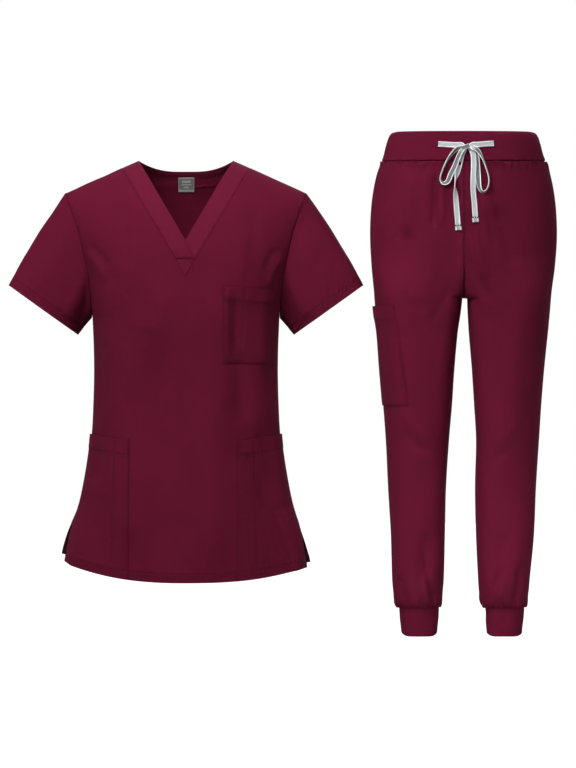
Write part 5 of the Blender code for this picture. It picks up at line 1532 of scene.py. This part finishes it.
def drawstring(tape, thread, dark):
    """Two tapes with a bow between them, their folded ends, and the buttonholes that they come out of."""
    turn = np.linspace(-1, 1, KNOT_RINGS) * KNOT_WRAP * math.pi / 2
    x, z, off = KNOT_AT
    middle = np.array([TROUSER_X + x, cloth_y(x, z) - off, z])
    wide, deep, tall = KNOT_RADII
    wrap = middle + np.stack([wide * np.sin(turn), -deep * np.cos(turn), tall * np.sin(turn)], -1)
    # The knot takes the painted shade nearly all over.
    knot = tape_mesh("bow_knot", wrap, np.zeros(KNOT_RINGS), tape, np.full(KNOT_RINGS, KNOT_PAINTED_SHADE), "tape",
                     ["drawstring_knot"], KNOT_WIDTH)
    ends, holes, outwards = [], [], np.array([[0, -1.0, 0]] * 9)
    for side, name in NAMES.items():
        line, angles, back = tape_line(side)
        nodes = [f"drawstring_{name}_{part}" for part in ("stretch", "loop", "tail")]
        piece = tape_mesh(f"drawstring_{name}", line, angles, tape, back, "tape", nodes)
        end = tape_mesh(f"folded_end_{name}", line[-5:] + [0, -0.2, END_RISE], np.zeros(5), tape, np.zeros(5),
                        "tape", (), TAPE_WIDTH + END_WIDER, TAPE_EDGE * END_THICKER)
        across = np.linspace(-END_STITCH_HALF, END_STITCH_HALF, 9)[:, None] * [1.0, 0, 0]
        ends.append((line[-5] + [0, -END_STITCH_OFF, END_RISE] + across, outwards))
        exit_x, exit_z = STRETCHES[side][0][:2]
        # Each buttonhole's slit is a thin strip of the wine thread's finish: painted shade in its opening.
        z = exit_z + np.linspace(-SLIT_HALF, SLIT_HALF, 9)
        slit = np.stack([np.full(9, TROUSER_X + exit_x - side * SLIT_IN), cloth_y(exit_x, z) + 0.1, z], -1)
        tape_mesh(f"buttonhole_slit_{name}", slit, np.zeros(9), thread, np.zeros(9), "knit", (), SLIT_WIDTH)
        holes += [(slit + [aside, -0.3, 0], outwards) for aside in (-SLIT_STITCH_ASIDE, SLIT_STITCH_ASIDE)]
        round(float(run_along(line)[-1]) * MM, 3)
    sew("tape_end_stitching", ends, dark, "tape", END_STITCH)
    sew("buttonhole_stitching", holes, thread, "knit", SLIT_STITCH)


# ---- The view ----

def make_camera():
    camera = bpy.data.cameras.new("camera")
    camera.sensor_width, camera.clip_end = 36.0, 200.0
    camera.lens = camera.sensor_width * -CAMERA_AT[1] / FRAME_TALL
    item = in_scene("camera", camera)
    item.location, item.rotation_euler = CAMERA_AT, (math.pi / 2, 0, 0)
    bpy.context.scene.camera = item
    bpy.context.scene.view_settings.view_transform = "Standard"


def make_lights():
    for name, size, power, spread, place, aim in LIGHTS:
        light = bpy.data.lights.new(name, "AREA")
        light.size, light.energy, light.spread = size, power, math.radians(spread)
        lamp = in_scene(name, light)
        lamp.location = place
        lamp.rotation_euler = (Vector(aim) - Vector(place)).to_track_quat("-Z", "Y").to_euler()


def make_sky():
    """White where the camera sees it. As a light it is weaker, and weakest from below."""
    world = bpy.data.worlds.new("studio")
    bpy.context.scene.world = world
    world.use_nodes = True
    tree = world.node_tree
    seen = add(tree, "ShaderNodeLightPath", "Is Camera Ray")
    way = add(tree, "ShaderNodeTexCoord", "Generated")
    height = add(tree, "ShaderNodeSeparateXYZ", "Z", {"Vector": way})
    below, above = SKY_LIGHT
    light = add(tree, "ShaderNodeMapRange", 0, {
        "Value": height, "From Min": -0.4, "From Max": 0.8, "To Min": below, "To Max": above})
    strength = add(tree, "ShaderNodeMapRange", 0, {"Value": seen, "To Min": light, "To Max": 1.0})
    feed(tree.nodes["Background"], {"Color": "#ffffff", "Strength": strength})


def make_floor():
    """A pale smooth floor, uneven by so little that it only takes the edge off a flat colour."""
    floor = bpy.data.meshes.new("floor")
    wide = FLOOR_SIZE / 2
    corners = [(x * wide, y * wide, FLOOR_Z) for x, y in ((-1, -1), (1, -1), (1, 1), (-1, 1))]
    floor.from_pydata(corners, [], [(0, 1, 2, 3)])
    material, tree = new_finish("pale floor", 1.0, 0.0)
    place = add(tree, "ShaderNodeTexCoord", "Object")
    mottle = add(tree, "ShaderNodeTexNoise", "Fac", {"Vector": place, "Scale": 1 / (FLOOR_LUMP * MM)})
    colour = add(tree, "ShaderNodeMix", "Result", {"Factor": mottle, "A": FLOOR_DARK, "B": FLOOR_LIGHT},
                 data_type="RGBA")
    feed(tree.nodes["Principled BSDF"], {"Emission Color": "#ffffff", "Emission Strength": FLOOR_GLOW})
    floor.materials.append(finished(material, colour))
    ground = in_scene("floor", floor)
    ground.visible_diffuse = False


def main():
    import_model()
    twill = twill_finish("wine twill", CLOTH_LIGHT, CLOTH_DARK)
    bias = twill_finish("wine twill on the bias", BAND_LIGHT, BAND_DARK)
    knit = rib_finish("wine rib knit", CLOTH_LIGHT, CLOTH_DARK)
    tape = tape_finish("grey braided tape")
    label = label_finish("grey woven label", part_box("neck_label"))
    thread = thread_finish("wine thread", *WINE_THREAD)
    make_top(twill, bias, label, thread)
    make_trousers(twill, knit, tape, thread, thread_finish("dark grey thread", *GREY_THREAD))
    make_camera()
    make_sky()
    make_lights()
    make_floor()


main()
